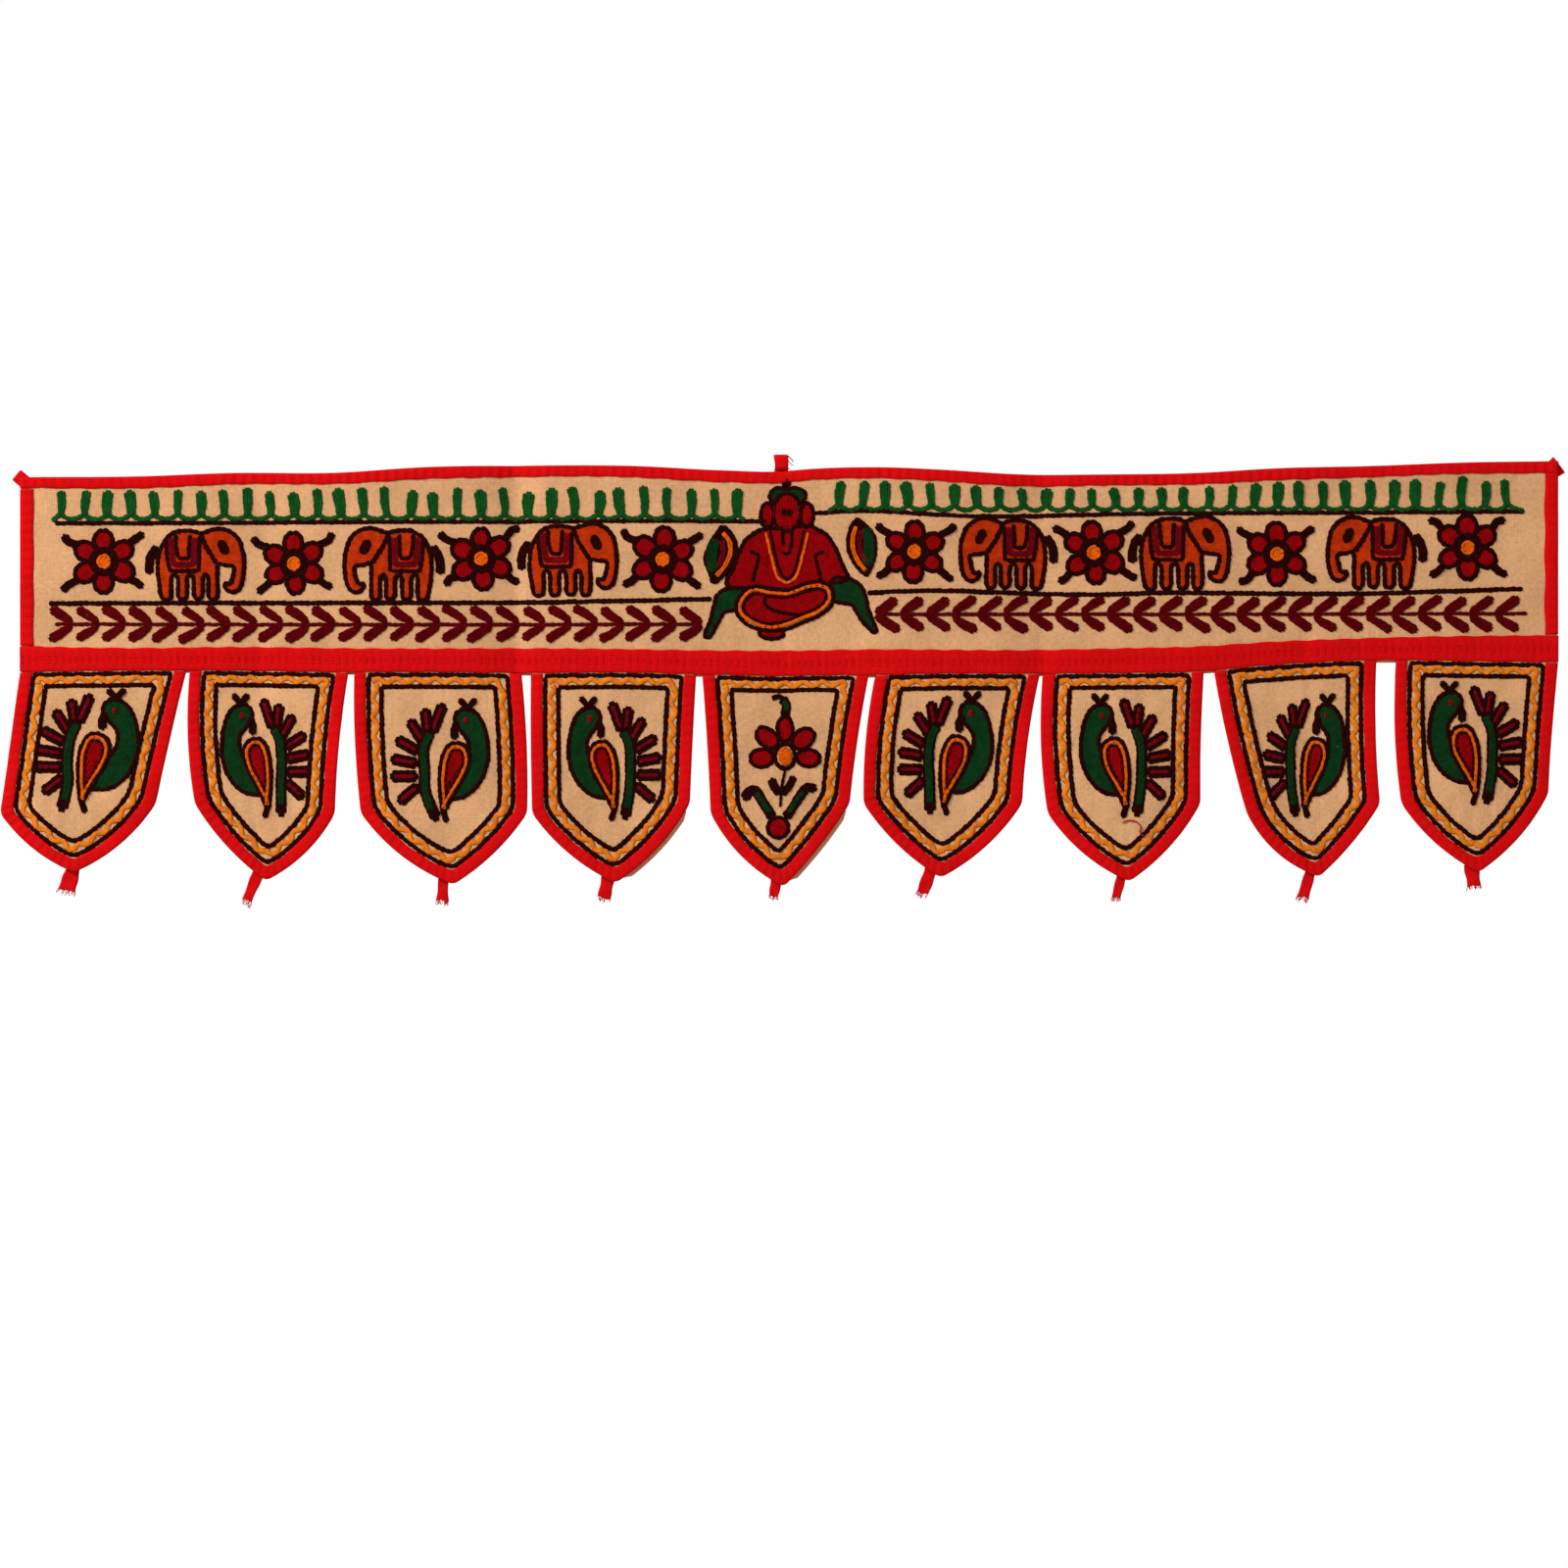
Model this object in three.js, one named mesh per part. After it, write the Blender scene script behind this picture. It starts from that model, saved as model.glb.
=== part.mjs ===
// A toran: an embroidered cotton hanging for the top of a doorway.
// A long cream panel is bound in red cotton along its top and sides. A red band closes its
// lower edge and carries nine pointed flags, each bound in red and ending in a small tail.
// One peach lining backs the band and the flags. A loop at the middle of the top edge and a
// folded tab at each top corner hang it up.
// Millimetres. X runs to the right as seen from the front, Z is up and the front faces -Y.
// The origin is on the top edge, at the foot of the middle loop.
import * as THREE from "three";

// Thickness of each layer, and the room between neighbouring pieces.
const CLOTH = 1.2;
const STRIP_LAYER = 0.6;
const CLEAR = 0.3;
const STRIP_HALF = CLOTH / 2 + CLEAR + STRIP_LAYER;
const CLOTH_EDGE = STRIP_LAYER + CLEAR;

// Widths of the red strips, and how far a cloth edge is tucked into the band.
const TOP_BINDING = 7.6;
const SIDE_BINDING = 9;
const FLAG_BINDING = 8;
const TUCK = 5;

const LEFT = -497;
const RIGHT = 507.5;

// Divisions of the surfaces.
const FLAG_CELLS = 5;
const SIDE_STEPS = 4;
const CHEEK_STEPS = 3;
const TIP_STATION = SIDE_STEPS + CHEEK_STEPS;
const PANEL_ROWS = [1, 0.7, 0.35, 0];

// The long edges, as uneven as the sewn cloth: a row for each place along X, with the
// heights of the top edge and of the band's upper and lower edges.
const EDGES = [
  { x: LEFT, top: -3.8, bandTop: -114.2, bandFoot: -131.2 },
  { x: -420, top: -3.2, bandTop: -115.2, bandFoot: -130.2 },
  { x: -356, top: -1, bandTop: -114.9, bandFoot: -130.2 },
  { x: -292, top: -1, bandTop: -115.5, bandFoot: -131.2 },
  { x: -228, top: 2.9, bandTop: -115.5, bandFoot: -131.2 },
  { x: -164, top: 3.8, bandTop: -115.8, bandFoot: -131.8 },
  { x: -100, top: 3.5, bandTop: -116.2, bandFoot: -131.5 },
  { x: -36, top: 0.6, bandTop: -116.8, bandFoot: -133.1 },
  { x: 0, top: 0, bandTop: -117.1, bandFoot: -133.8 },
  { x: 15, top: 1.3, bandTop: -117.1, bandFoot: -133.4 },
  { x: 66, top: 2.6, bandTop: -116.5, bandFoot: -133.1 },
  { x: 104, top: 1, bandTop: -116.5, bandFoot: -132.2 },
  { x: 155, top: -1.9, bandTop: -116.5, bandFoot: -132.2 },
  { x: 220, top: -1.9, bandTop: -115.8, bandFoot: -131.8 },
  { x: 271, top: -1, bandTop: -114.6, bandFoot: -130.9 },
  { x: 322, top: 1.9, bandTop: -111, bandFoot: -126.4 },
  { x: 386, top: 3.5, bandTop: -108.8, bandFoot: -123.5 },
  { x: 450, top: 5.8, bandTop: -107.8, bandFoot: -124.2 },
  { x: RIGHT, top: 6.7, bandTop: -106.9, bandFoot: -124.8 },
];

// The soft vertical folds left by storage: where each is, how wide, and how far it stands
// back (or forward, if negative) at the band and at the top edge.
const FOLDS = [
  { x: -430, width: 40, low: -1.2, high: 1.4 },
  { x: -344, width: 17, low: 1.6, high: 0.9 },
  { x: -260, width: 36, low: -1.5, high: -2.2 },
  { x: -176, width: 15, low: 2.4, high: 2.8 },
  { x: -95, width: 38, low: -1.4, high: -2.4 },
  { x: 10, width: 30, low: 1.2, high: 0.8 },
  { x: 100, width: 40, low: -1.8, high: -2.6 },
  { x: 168, width: 15, low: 2.2, high: 2 },
  { x: 252, width: 40, low: -1.4, high: 1.2 },
  { x: 340, width: 17, low: 1.8, high: -1.4 },
  { x: 430, width: 34, low: -1.6, high: -1.8 },
];

// The flags from left to right. top holds the X of the two upper corners, left and right
// the shoulders and tip the lowest point. bow is how far each side edge swells outwards past
// the straight line, and cheek the same for the slanting lower edges. sway is how far back
// the tip hangs and cup how far the side edges curl back. Each tail is a strip from its
// root, behind the tip, to its end, with its width at both.
const FLAGS = [
  {
    top: [-497, -388.2], left: [-510.1, -223.4], right: [-408.3, -217], tip: [-461.4, -262],
    bow: [0, -0.5], cheek: [4.4, 5.4], sway: -3, cup: 2.4,
    tail: { root: [-461.4, -257.5], end: [-467.4, -276.5], width: [8.5, 12] },
  },
  {
    top: [-386.2, -282.4], left: [-382.7, -217], right: [-291.2, -223.4], tip: [-336.6, -267.5],
    bow: [2.8, -1.6], cheek: [3.5, 5], sway: 2, cup: -1.8,
    tail: { root: [-341, -260.5], end: [-350.7, -283.5], width: [8, 6.5] },
  },
  {
    top: [-278.7, -169.6], left: [-274.6, -223.4], right: [-165.8, -223.4], tip: [-214, -270],
    bow: [1.6, 1.5], cheek: [5.6, 3.7], sway: -1.6, cup: 1.6,
    tail: { root: [-220.5, -263], end: [-221.4, -283.5], width: [6, 8] },
  },
  {
    top: [-163.5, -55.4], left: [-162.6, -223.4], right: [-59.5, -217], tip: [-108.2, -269],
    bow: [0.4, -0.2], cheek: [4.7, 4.5], sway: 2.4, cup: -1.4,
    tail: { root: [-112.4, -262.5], end: [-116.5, -281.6], width: [9, 8.5] },
  },
  {
    top: [-51.5, 57.2], left: [-46.1, -223.4], right: [44.8, -217], tip: [1.6, -271.4],
    bow: [-0.5, -1], cheek: [5.4, 2], sway: -2.4, cup: 2,
    tail: { root: [-2.4, -264], end: [-5.4, -279.7], width: [8.5, 6] },
  },
  {
    top: [61.4, 169.2], left: [53.8, -217], right: [157.4, -217], tip: [104.3, -265.5],
    bow: [2.4, -2], cheek: [4, 4.7], sway: 1.6, cup: -2,
    tail: { root: [98.5, -258.5], end: [91.5, -278.4], width: [8.5, 8] },
  },
  {
    top: [170.9, 276], left: [174.1, -223.4], right: [273.9, -217], tip: [227, -268],
    bow: [2.8, -0.8], cheek: [5, 4.2], sway: -1.8, cup: 1.6,
    tail: { root: [222.8, -262], end: [218.2, -281], width: [6.5, 6] },
  },
  {
    top: [282.6, 388.8], left: [304, -223.4], right: [391, -217], tip: [351.4, -265],
    bow: [1.6, -1.8], cheek: [6.2, 2.5], sway: 3, cup: -2.6,
    tail: { root: [346.8, -259], end: [340.5, -281.6], width: [6.5, 8] },
  },
  {
    top: [401.3, RIGHT], left: [405.1, -217], right: [501.1, -210.6], tip: [455, -262],
    bow: [2.4, -0.6], cheek: [4.4, 4.5], sway: -2, cup: 2.2,
    tail: { root: [450.5, -256.5], end: [453.1, -273.3], width: [10, 8.5] },
  },
];

const TAIL_THICKNESS = 1.4;
const TAIL_STEPS = 3;
const TAIL_CURL = 1.6;

// The lining lies behind the band and the flags, a little inside their edges. puff is how
// much further back it lies at the tips, over the tails. The cuts between its flags stop at
// notch below the band. Flags listed in past have its raw edge hanging out at lower right.
const LINING = { thickness: 1, clear: 0.35, inset: 2.5, head: 2.5, notch: 6, puff: 2.5 };
const LINING_PAST = { 4: 2.6, 5: 2.6 };

// The folded tabs at the top corners, each from behind the corner to its folded end.
const CORNER_TABS = [
  { name: "corner_tab_left", root: [-487.5, -12.5], end: [-500, -2], width: [9, 8.6] },
  { name: "corner_tab_right", root: [496.5, -4.5], end: [508.8, 4.6], width: [9.5, 13] },
];
const TAB_LAYER = 0.9;

// The middle loop: a strip folded over into an eye, its two ends sewn behind the binding.
// eye is the clear depth inside it and corner the radius of its soft corners.
const LOOP = { x: 0, width: 9.2, layer: 1.2, rise: 11, lift: 1.1, eye: 5.8, corner: 2, tail: 7 };
const LOOP_ARC_POINTS = 4;

const RED_COTTON = { color: "#d20a0e", roughness: 0.85, metalness: 0 };
const CREAM_COTTON = { color: "#dcae7c", roughness: 0.9, metalness: 0 };
const PEACH_COTTON = { color: "#e8b48c", roughness: 0.9, metalness: 0 };

const lerp = THREE.MathUtils.lerp;
const clamp = THREE.MathUtils.clamp;

// Straight-line reading of sorted rows: the value of read(row) at place x.
function along(rows, x, place, read) {
  const next = rows.findIndex((row) => place(row) >= x);
  const after = next < 1 ? (next < 0 ? rows.length - 1 : 1) : next;
  const a = rows[after - 1];
  const b = rows[after];
  const share = clamp((x - place(a)) / (place(b) - place(a)), 0, 1);
  return lerp(read(a), read(b), share);
}

const edgeAt = (x, name) => along(EDGES, x, (row) => row.x, (row) => row[name]);

// Every place along X where the long pieces have a section. Each flag's columns are among
// them, so the flags and the band bend at the same lines.
function stationPlaces() {
  const places = new Set([LEFT, RIGHT]);
  for (const { top } of FLAGS) {
    const inner = [top[0] + FLAG_BINDING, top[1] - FLAG_BINDING];
    top.forEach((x) => places.add(x));
    for (let i = 0; i <= FLAG_CELLS; i++) places.add(lerp(inner[0], inner[1], i / FLAG_CELLS));
  }
  return [...places].sort((a, b) => a - b);
}

const STATIONS = stationPlaces().map((x) => {
  const bell = (fold) => Math.exp(-(((x - fold.x) / fold.width) ** 2));
  const sum = (name) => FOLDS.reduce((total, fold) => total + fold[name] * bell(fold), 0);
  return { x, low: sum("low"), high: sum("high") };
});

// Depth of the cloth's middle: rise is 0 at the band and 1 at the top binding.
function depthAt(x, rise) {
  const read = (row) => lerp(row.low, row.high, clamp(rise, 0, 1));
  return along(STATIONS, x, (row) => row.x, read);
}

// Depth of a flag's middle at a point: the band's own depth fades out downwards, and the
// sway and the curl of the side edges come in.
function flagDepth(flag, x, z) {
  const drop = Math.max(0, edgeAt(x, "bandFoot") - z);
  const height = edgeAt(flag.tip[0], "bandFoot") - flag.tip[1];
  const share = drop / height;
  const middle = (flag.top[0] + flag.top[1]) / 2;
  const upright = x - (flag.tip[0] - middle) * share;
  const across = (upright - middle) / ((flag.top[1] - flag.top[0]) / 2);
  const fade = (1 - clamp(share, 0, 1)) ** 2;
  const curl = flag.cup * across * across * Math.sin(Math.PI * clamp(share, 0, 1) * 0.75);
  return depthAt(upright, 0) * fade + flag.sway * share + curl * Math.min(1, share * 3);
}

// A closed geometry from points and triangles, turned outwards if its volume is negative.
function closedGeometry(points, triangles) {
  const volume = triangles.reduce((sum, [a, b, c]) => {
    return sum + points[a].dot(points[b].clone().cross(points[c]));
  }, 0);
  const outward = volume < 0 ? triangles.map(([a, b, c]) => [a, c, b]) : triangles;
  const geometry = new THREE.BufferGeometry().setFromPoints(points);
  geometry.setIndex(outward.flat());
  geometry.computeVertexNormals();
  return geometry;
}

// A sheet: its middle surface moved to the front and back by half its thickness and closed
// along every edge that only one triangle uses.
function sheet(middle, triangles, thickness) {
  const count = middle.length;
  const shift = (dy) => middle.map((p) => new THREE.Vector3(p.x, p.y + dy, p.z));
  const used = new Set(triangles.flatMap(([a, b, c]) => [`${a},${b}`, `${b},${c}`, `${c},${a}`]));
  const faces = [];
  for (const [a, b, c] of triangles) {
    faces.push([a, b, c], [a + count, c + count, b + count]);
    for (const [from, to] of [[a, b], [b, c], [c, a]]) {
      if (used.has(`${to},${from}`)) continue;
      faces.push([to, from, from + count], [to, from + count, to + count]);
    }
  }
  return closedGeometry([...shift(-thickness / 2), ...shift(thickness / 2)], faces);
}

// Triangles between rows of equal length, listed from top to bottom and left to right.
function rowTriangles(rows) {
  const faces = [];
  for (let r = 0; r + 1 < rows.length; r++) {
    for (let i = 0; i + 1 < rows[r].length; i++) {
      const [a, b, c, d] = [rows[r][i], rows[r][i + 1], rows[r + 1][i + 1], rows[r + 1][i]];
      faces.push([a, d, c], [a, c, b]);
    }
  }
  return faces;
}

// A strip of one section carried along a path: rings of points, joined and capped. The
// profile is the flat section, used to divide the two end caps into triangles.
function strip(rings, profile) {
  const size = profile.length;
  const faces = [];
  for (let r = 0; r + 1 < rings.length; r++) {
    for (let i = 0; i < size; i++) {
      const j = (i + 1) % size;
      const [a, b] = [r * size + i, r * size + j];
      faces.push([a, b, b + size], [a, b + size, a + size]);
    }
  }
  const last = (rings.length - 1) * size;
  const flat = profile.map(([u, v]) => new THREE.Vector2(u, v));
  const turned = THREE.ShapeUtils.area(flat) < 0;
  for (const [a, b, c] of THREE.ShapeUtils.triangulateShape(flat, [])) {
    const cap = turned ? [a, b, c] : [a, c, b];
    faces.push(cap, [cap[0] + last, cap[2] + last, cap[1] + last]);
  }
  return closedGeometry(rings.flat(), faces);
}

// Section of a binding folded over a cloth edge: distance in from the fold, then depth.
function bindingProfile(width) {
  const [outer, inner] = [STRIP_HALF, STRIP_HALF - STRIP_LAYER];
  return [
    [0, -outer], [width, -outer], [width, -inner], [STRIP_LAYER, -inner],
    [STRIP_LAYER, inner], [width, inner], [width, outer], [0, outer],
  ];
}

// Section of the band, open above for the panel and below for the flags.
function bandProfile(height) {
  const [outer, inner, slot] = [STRIP_HALF, STRIP_HALF - STRIP_LAYER, TUCK + CLEAR];
  return [
    [0, -outer], [height, -outer], [height, -inner], [height - slot, -inner],
    [height - slot, inner], [height, inner], [height, outer], [0, outer],
    [0, inner], [slot, inner], [slot, -inner], [0, -inner],
  ];
}

// One ring of a strip: from is its outer edge and to its inner edge, both on the cloth's
// middle, and width is the distance between them in the profile.
function ring(from, to, width, profile) {
  return profile.map(([u, depth]) => {
    const p = new THREE.Vector3().lerpVectors(from, to, u / width);
    return p.setY(p.y + depth);
  });
}

const point = (x, y, z) => new THREE.Vector3(x, y, z);

function mainPanel() {
  const columns = STATIONS.map(({ x }) => clamp(x, LEFT + CLOTH_EDGE, RIGHT - CLOTH_EDGE));
  const heights = (x) => {
    const foot = edgeAt(x, "bandTop");
    const head = edgeAt(x, "top") - TOP_BINDING;
    const rows = PANEL_ROWS.map((rise) => ({ z: lerp(foot, head, rise), rise }));
    const tucked = { z: edgeAt(x, "top") - CLOTH_EDGE, rise: 1 };
    return [tucked, ...rows, { z: foot - TUCK, rise: 0 }];
  };
  const grid = columns.map((x) => heights(x).map(({ z, rise }) => point(x, depthAt(x, rise), z)));
  const rowCount = grid[0].length;
  const middle = grid.flat();
  const rows = Array.from({ length: rowCount }, (_, r) => columns.map((_, c) => c * rowCount + r));
  return sheet(middle, rowTriangles(rows), CLOTH);
}

function topBinding() {
  const profile = bindingProfile(TOP_BINDING);
  const rings = STATIONS.map(({ x }) => {
    const [z, y] = [edgeAt(x, "top"), depthAt(x, 1)];
    return ring(point(x, y, z), point(x, y, z - TOP_BINDING), TOP_BINDING, profile);
  });
  return strip(rings, profile);
}

function sideBinding(outerX, innerX) {
  const profile = bindingProfile(SIDE_BINDING);
  const rings = PANEL_ROWS.map((rise) => {
    const onEdge = (x) => {
      const foot = edgeAt(x, "bandTop") + CLEAR;
      const head = edgeAt(x, "top") - TOP_BINDING - CLEAR;
      return point(x, depthAt(x, rise), lerp(foot, head, rise));
    };
    return ring(onEdge(outerX), onEdge(innerX), SIDE_BINDING, profile);
  });
  return strip(rings, profile);
}

function band() {
  const rings = STATIONS.map(({ x }) => {
    const [head, foot, y] = [edgeAt(x, "bandTop"), edgeAt(x, "bandFoot"), depthAt(x, 0)];
    const height = head - foot;
    return ring(point(x, y, head), point(x, y, foot), height, bandProfile(height));
  });
  const { bandTop, bandFoot } = EDGES[0];
  return strip(rings, bandProfile(bandTop - bandFoot));
}

// Points of a curve that swells by the given amount to the right of its direction.
function swellingCurve(from, to, swell, steps) {
  const [a, b] = [new THREE.Vector2(...from), new THREE.Vector2(...to)];
  const side = new THREE.Vector2(b.y - a.y, a.x - b.x).normalize();
  const control = a.clone().lerp(b, 0.5).addScaledVector(side, 2 * swell);
  return new THREE.QuadraticBezierCurve(a, control, b).getPoints(steps);
}

// A flag's edge from the upper left corner, round the tip, to the upper right corner. Each
// station has its point and the way in, long enough for one millimetre of strip width.
function flagEdge(flag) {
  const corner = (x) => [x, edgeAt(x, "bandFoot") - CLEAR];
  const [a, e] = flag.top.map(corner);
  const points = [
    ...swellingCurve(a, flag.left, flag.bow[0], SIDE_STEPS).slice(0, -1),
    ...swellingCurve(flag.left, flag.tip, flag.cheek[0], CHEEK_STEPS).slice(0, -1),
    ...swellingCurve(flag.tip, flag.right, flag.cheek[1], CHEEK_STEPS).slice(0, -1),
    ...swellingCurve(flag.right, e, flag.bow[1], SIDE_STEPS),
  ];
  const inward = (p, q) => new THREE.Vector2(p.y - q.y, q.x - p.x).normalize();
  return points.map((p, i) => {
    if (i === 0) return { p, way: new THREE.Vector2(1, 0), atBand: true };
    if (i === points.length - 1) return { p, way: new THREE.Vector2(-1, 0), atBand: true };
    const before = inward(points[i - 1], p);
    const way = before.clone().add(inward(p, points[i + 1])).normalize();
    return { p, way: way.divideScalar(way.dot(before)) };
  });
}

// The two lines that the flag's cloth and its binding share, so that both bend alike.
function flagLines(flag, { p, way, atBand }) {
  const [outer, inner] = [0, FLAG_BINDING].map((distance) => {
    const x = p.x + way.x * distance;
    const z = atBand ? edgeAt(x, "bandFoot") - CLEAR : p.y + way.y * distance;
    return point(x, flagDepth(flag, x, z), z);
  });
  return { outer, inner, edge: outer.clone().lerp(inner, CLOTH_EDGE / FLAG_BINDING) };
}

// Rows of points across a flag, from its upper corners down to just above its tip.
function flagRows(flag, lines) {
  return lines.slice(0, TIP_STATION).map((left, k) => {
    const right = lines[lines.length - 1 - k];
    const cells = [];
    for (let i = 1; i < FLAG_CELLS; i++) {
      const p = left.inner.clone().lerp(right.inner, i / FLAG_CELLS);
      cells.push(p.setY(flagDepth(flag, p.x, p.z)));
    }
    return [left.edge, left.inner, ...cells, right.inner, right.edge];
  });
}

// Triangles between a flag's lowest row of points and the two points at its tip.
function tipTriangles(row, tipEdge, tipInner) {
  const end = row.length - 1;
  const fan = row.slice(1, end - 1).map((corner, i) => [corner, tipInner, row[i + 2]]);
  const sides = [[row[0], tipEdge, tipInner], [row[0], tipInner, row[1]]];
  return [...fan, ...sides, [row[end], tipInner, tipEdge], [row[end], row[end - 1], tipInner]];
}

function flagCloth(flag) {
  const lines = flagEdge(flag).map((station) => flagLines(flag, station));
  const rows = flagRows(flag, lines);
  const tucked = rows[0].map((p) => {
    return point(p.x, depthAt(p.x, 0), edgeAt(p.x, "bandFoot") + TUCK);
  });
  const middle = [];
  const add = (p) => middle.push(p) - 1;
  const indexRows = [tucked, ...rows].map((points) => points.map(add));
  const [tipEdge, tipInner] = [add(lines[TIP_STATION].edge), add(lines[TIP_STATION].inner)];
  const lowest = indexRows[indexRows.length - 1];
  return sheet(middle, [
    ...rowTriangles(indexRows),
    ...tipTriangles(lowest, tipEdge, tipInner),
  ], CLOTH);
}

// The lining of one flag: its rows and the two points at its tip, all moved back.
function liningOfFlag(flag, past, behind) {
  const lines = flagEdge(flag).map((station, k) => {
    const { outer, inner } = flagLines(flag, station);
    const onRightCheek = k > TIP_STATION && k < TIP_STATION + CHEEK_STEPS;
    const inset = station.atBand ? 0 : (past && onRightCheek ? -past : LINING.inset);
    return { inner, edge: outer.clone().lerp(inner, inset / FLAG_BINDING) };
  });
  const puff = (k) => LINING.puff * clamp((k - SIDE_STEPS) / (CHEEK_STEPS - 1), 0, 1);
  const rows = flagRows(flag, lines).map((row, k) => row.map((p) => behind(p, puff(k))));
  const { edge, inner } = lines[TIP_STATION];
  return { rows, tip: [edge, inner].map((p) => behind(p, LINING.puff)) };
}

function lining() {
  const offset = STRIP_HALF + LINING.clear + LINING.thickness / 2;
  const behind = (p, puff) => point(p.x, p.y + offset + puff, p.z);
  const flags = FLAGS.map((flag, i) => liningOfFlag(flag, LINING_PAST[i + 1], behind));
  const withinEnds = (x) => clamp(x, LEFT + LINING.inset, RIGHT - LINING.inset);
  const foot = flags.flatMap(({ rows }) => rows[0]).map((p) => p.setX(withinEnds(p.x)));
  const head = foot.map(({ x, y }) => point(x, y, edgeAt(x, "bandTop") - LINING.head));
  const below = flags.flatMap(({ rows }) => rows[1]);
  const notch = foot.map((p, i) => p.clone().lerp(below[i], LINING.notch / (p.z - below[i].z)));
  const middle = [];
  const add = (p) => middle.push(p) - 1;
  const across = [head, foot, notch].map((points) => points.map(add));
  const triangles = rowTriangles(across);
  flags.forEach(({ rows, tip }, i) => {
    const from = i * rows[0].length;
    const start = across[2].slice(from, from + rows[0].length);
    const indexRows = [start, ...rows.slice(1).map((points) => points.map(add))];
    const lowest = indexRows[indexRows.length - 1];
    triangles.push(...rowTriangles(indexRows), ...tipTriangles(lowest, ...tip.map(add)));
  });
  return sheet(middle, triangles, LINING.thickness);
}

function flagBinding(flag) {
  const profile = bindingProfile(FLAG_BINDING);
  const rings = flagEdge(flag).map((station) => {
    const { outer, inner } = flagLines(flag, station);
    return ring(outer, inner, FLAG_BINDING, profile);
  });
  return strip(rings, profile);
}

// A tail: a flat strip sewn behind the flag's tip that curls back a little as it hangs.
function flagTail(flag) {
  const { root, end, width } = flag.tail;
  const down = new THREE.Vector2(end[0] - root[0], end[1] - root[1]).normalize();
  const across = new THREE.Vector2(-down.y, down.x);
  const tipDepth = Math.max(flagDepth(flag, ...root), flagDepth(flag, ...flag.tip));
  const front = tipDepth + STRIP_HALF + CLEAR;
  const profile = [[-1, 0], [1, 0], [1, TAIL_THICKNESS], [-1, TAIL_THICKNESS]];
  const rings = [];
  for (let i = 0; i <= TAIL_STEPS; i++) {
    const share = i / TAIL_STEPS;
    const half = lerp(width[0], width[1], share) / 2;
    const curl = TAIL_CURL * share * share;
    rings.push(profile.map(([side, depth]) => point(
      lerp(root[0], end[0], share) + across.x * side * half,
      front + depth + curl,
      lerp(root[1], end[1], share) + across.y * side * half,
    )));
  }
  return strip(rings, profile);
}

// A corner tab: a strip folded once at its outer end, both layers sewn behind the corner.
function cornerTab({ root, end, width }) {
  const reach = new THREE.Vector2(end[0] - root[0], end[1] - root[1]);
  const across = new THREE.Vector2(-reach.y, reach.x).normalize();
  const thickness = 2 * TAB_LAYER + CLEAR;
  const foldStart = 1 - TAB_LAYER / reach.length();
  const profile = [
    [0, 0], [1, 0], [1, thickness], [0, thickness],
    [0, TAB_LAYER + CLEAR], [foldStart, TAB_LAYER + CLEAR], [foldStart, TAB_LAYER], [0, TAB_LAYER],
  ];
  const deepest = Math.max(depthAt(root[0], 1), depthAt(end[0], 1), depthAt(root[0], 0.7));
  const front = deepest + STRIP_HALF + CLEAR;
  const rings = [-0.5, 0.5].map((side) => profile.map(([share, depth]) => {
    const off = side * lerp(width[0], width[1], share);
    const [x, z] = [root[0] + reach.x * share, root[1] + reach.y * share];
    return point(x + across.x * off, front + depth, z + across.y * off);
  }));
  return strip(rings, profile);
}

// Starts a path round a box with soft corners: from its lower right, up, over and down to
// its lower left corner.
function softBox(path, [y0, y1], [z0, z1], radius, footRadius) {
  path.moveTo(y1, z0 + footRadius);
  path.lineTo(y1, z1 - radius);
  path.quadraticCurveTo(y1, z1, y1 - radius, z1);
  path.lineTo(y0 + radius, z1);
  path.quadraticCurveTo(y0, z1, y0, z1 - radius);
  path.lineTo(y0, z0 + radius);
  path.quadraticCurveTo(y0, z0, y0 + radius, z0);
}

// The middle loop, drawn in depth and height and carried across the strip's width. Its
// back is flat, against the wall, and the eye stands forward above the binding.
function middleLoop() {
  const { x, width, layer, rise, lift, eye, corner, tail } = LOOP;
  const deepest = Math.max(...[-0.5, 0, 0.5].map((side) => depthAt(x + side * width, 1)));
  const front = deepest + STRIP_HALF + CLEAR;
  const back = front + 2 * layer;
  const outline = new THREE.Shape();
  softBox(outline, [back - eye - 2 * layer, back], [lift, rise], corner + layer, 0);
  outline.lineTo(front, lift);
  outline.lineTo(front, -tail);
  outline.lineTo(back, -tail);
  const hole = new THREE.Path();
  const [inFront, behind] = [back - eye - layer, back - layer];
  softBox(hole, [inFront, behind], [lift + layer, rise - layer], corner, corner);
  hole.lineTo(behind - corner, lift + layer);
  hole.quadraticCurveTo(behind, lift + layer, behind, lift + layer + corner);
  outline.holes.push(hole);
  const geometry = new THREE.ExtrudeGeometry(outline, {
    depth: width,
    bevelEnabled: false,
    curveSegments: LOOP_ARC_POINTS,
  });
  // The extrusion's own X, Y and Z become depth, height and width.
  const toFrame = new THREE.Matrix4().makeBasis(point(0, 1, 0), point(0, 0, 1), point(1, 0, 0));
  return geometry.applyMatrix4(toFrame).translate(x - width / 2, 0, 0);
}

const toran = new THREE.Group();

function addPiece(name, geometry, finish) {
  const mesh = new THREE.Mesh(geometry, new THREE.MeshStandardMaterial(finish));
  mesh.name = name;
  toran.add(mesh);
}

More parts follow.
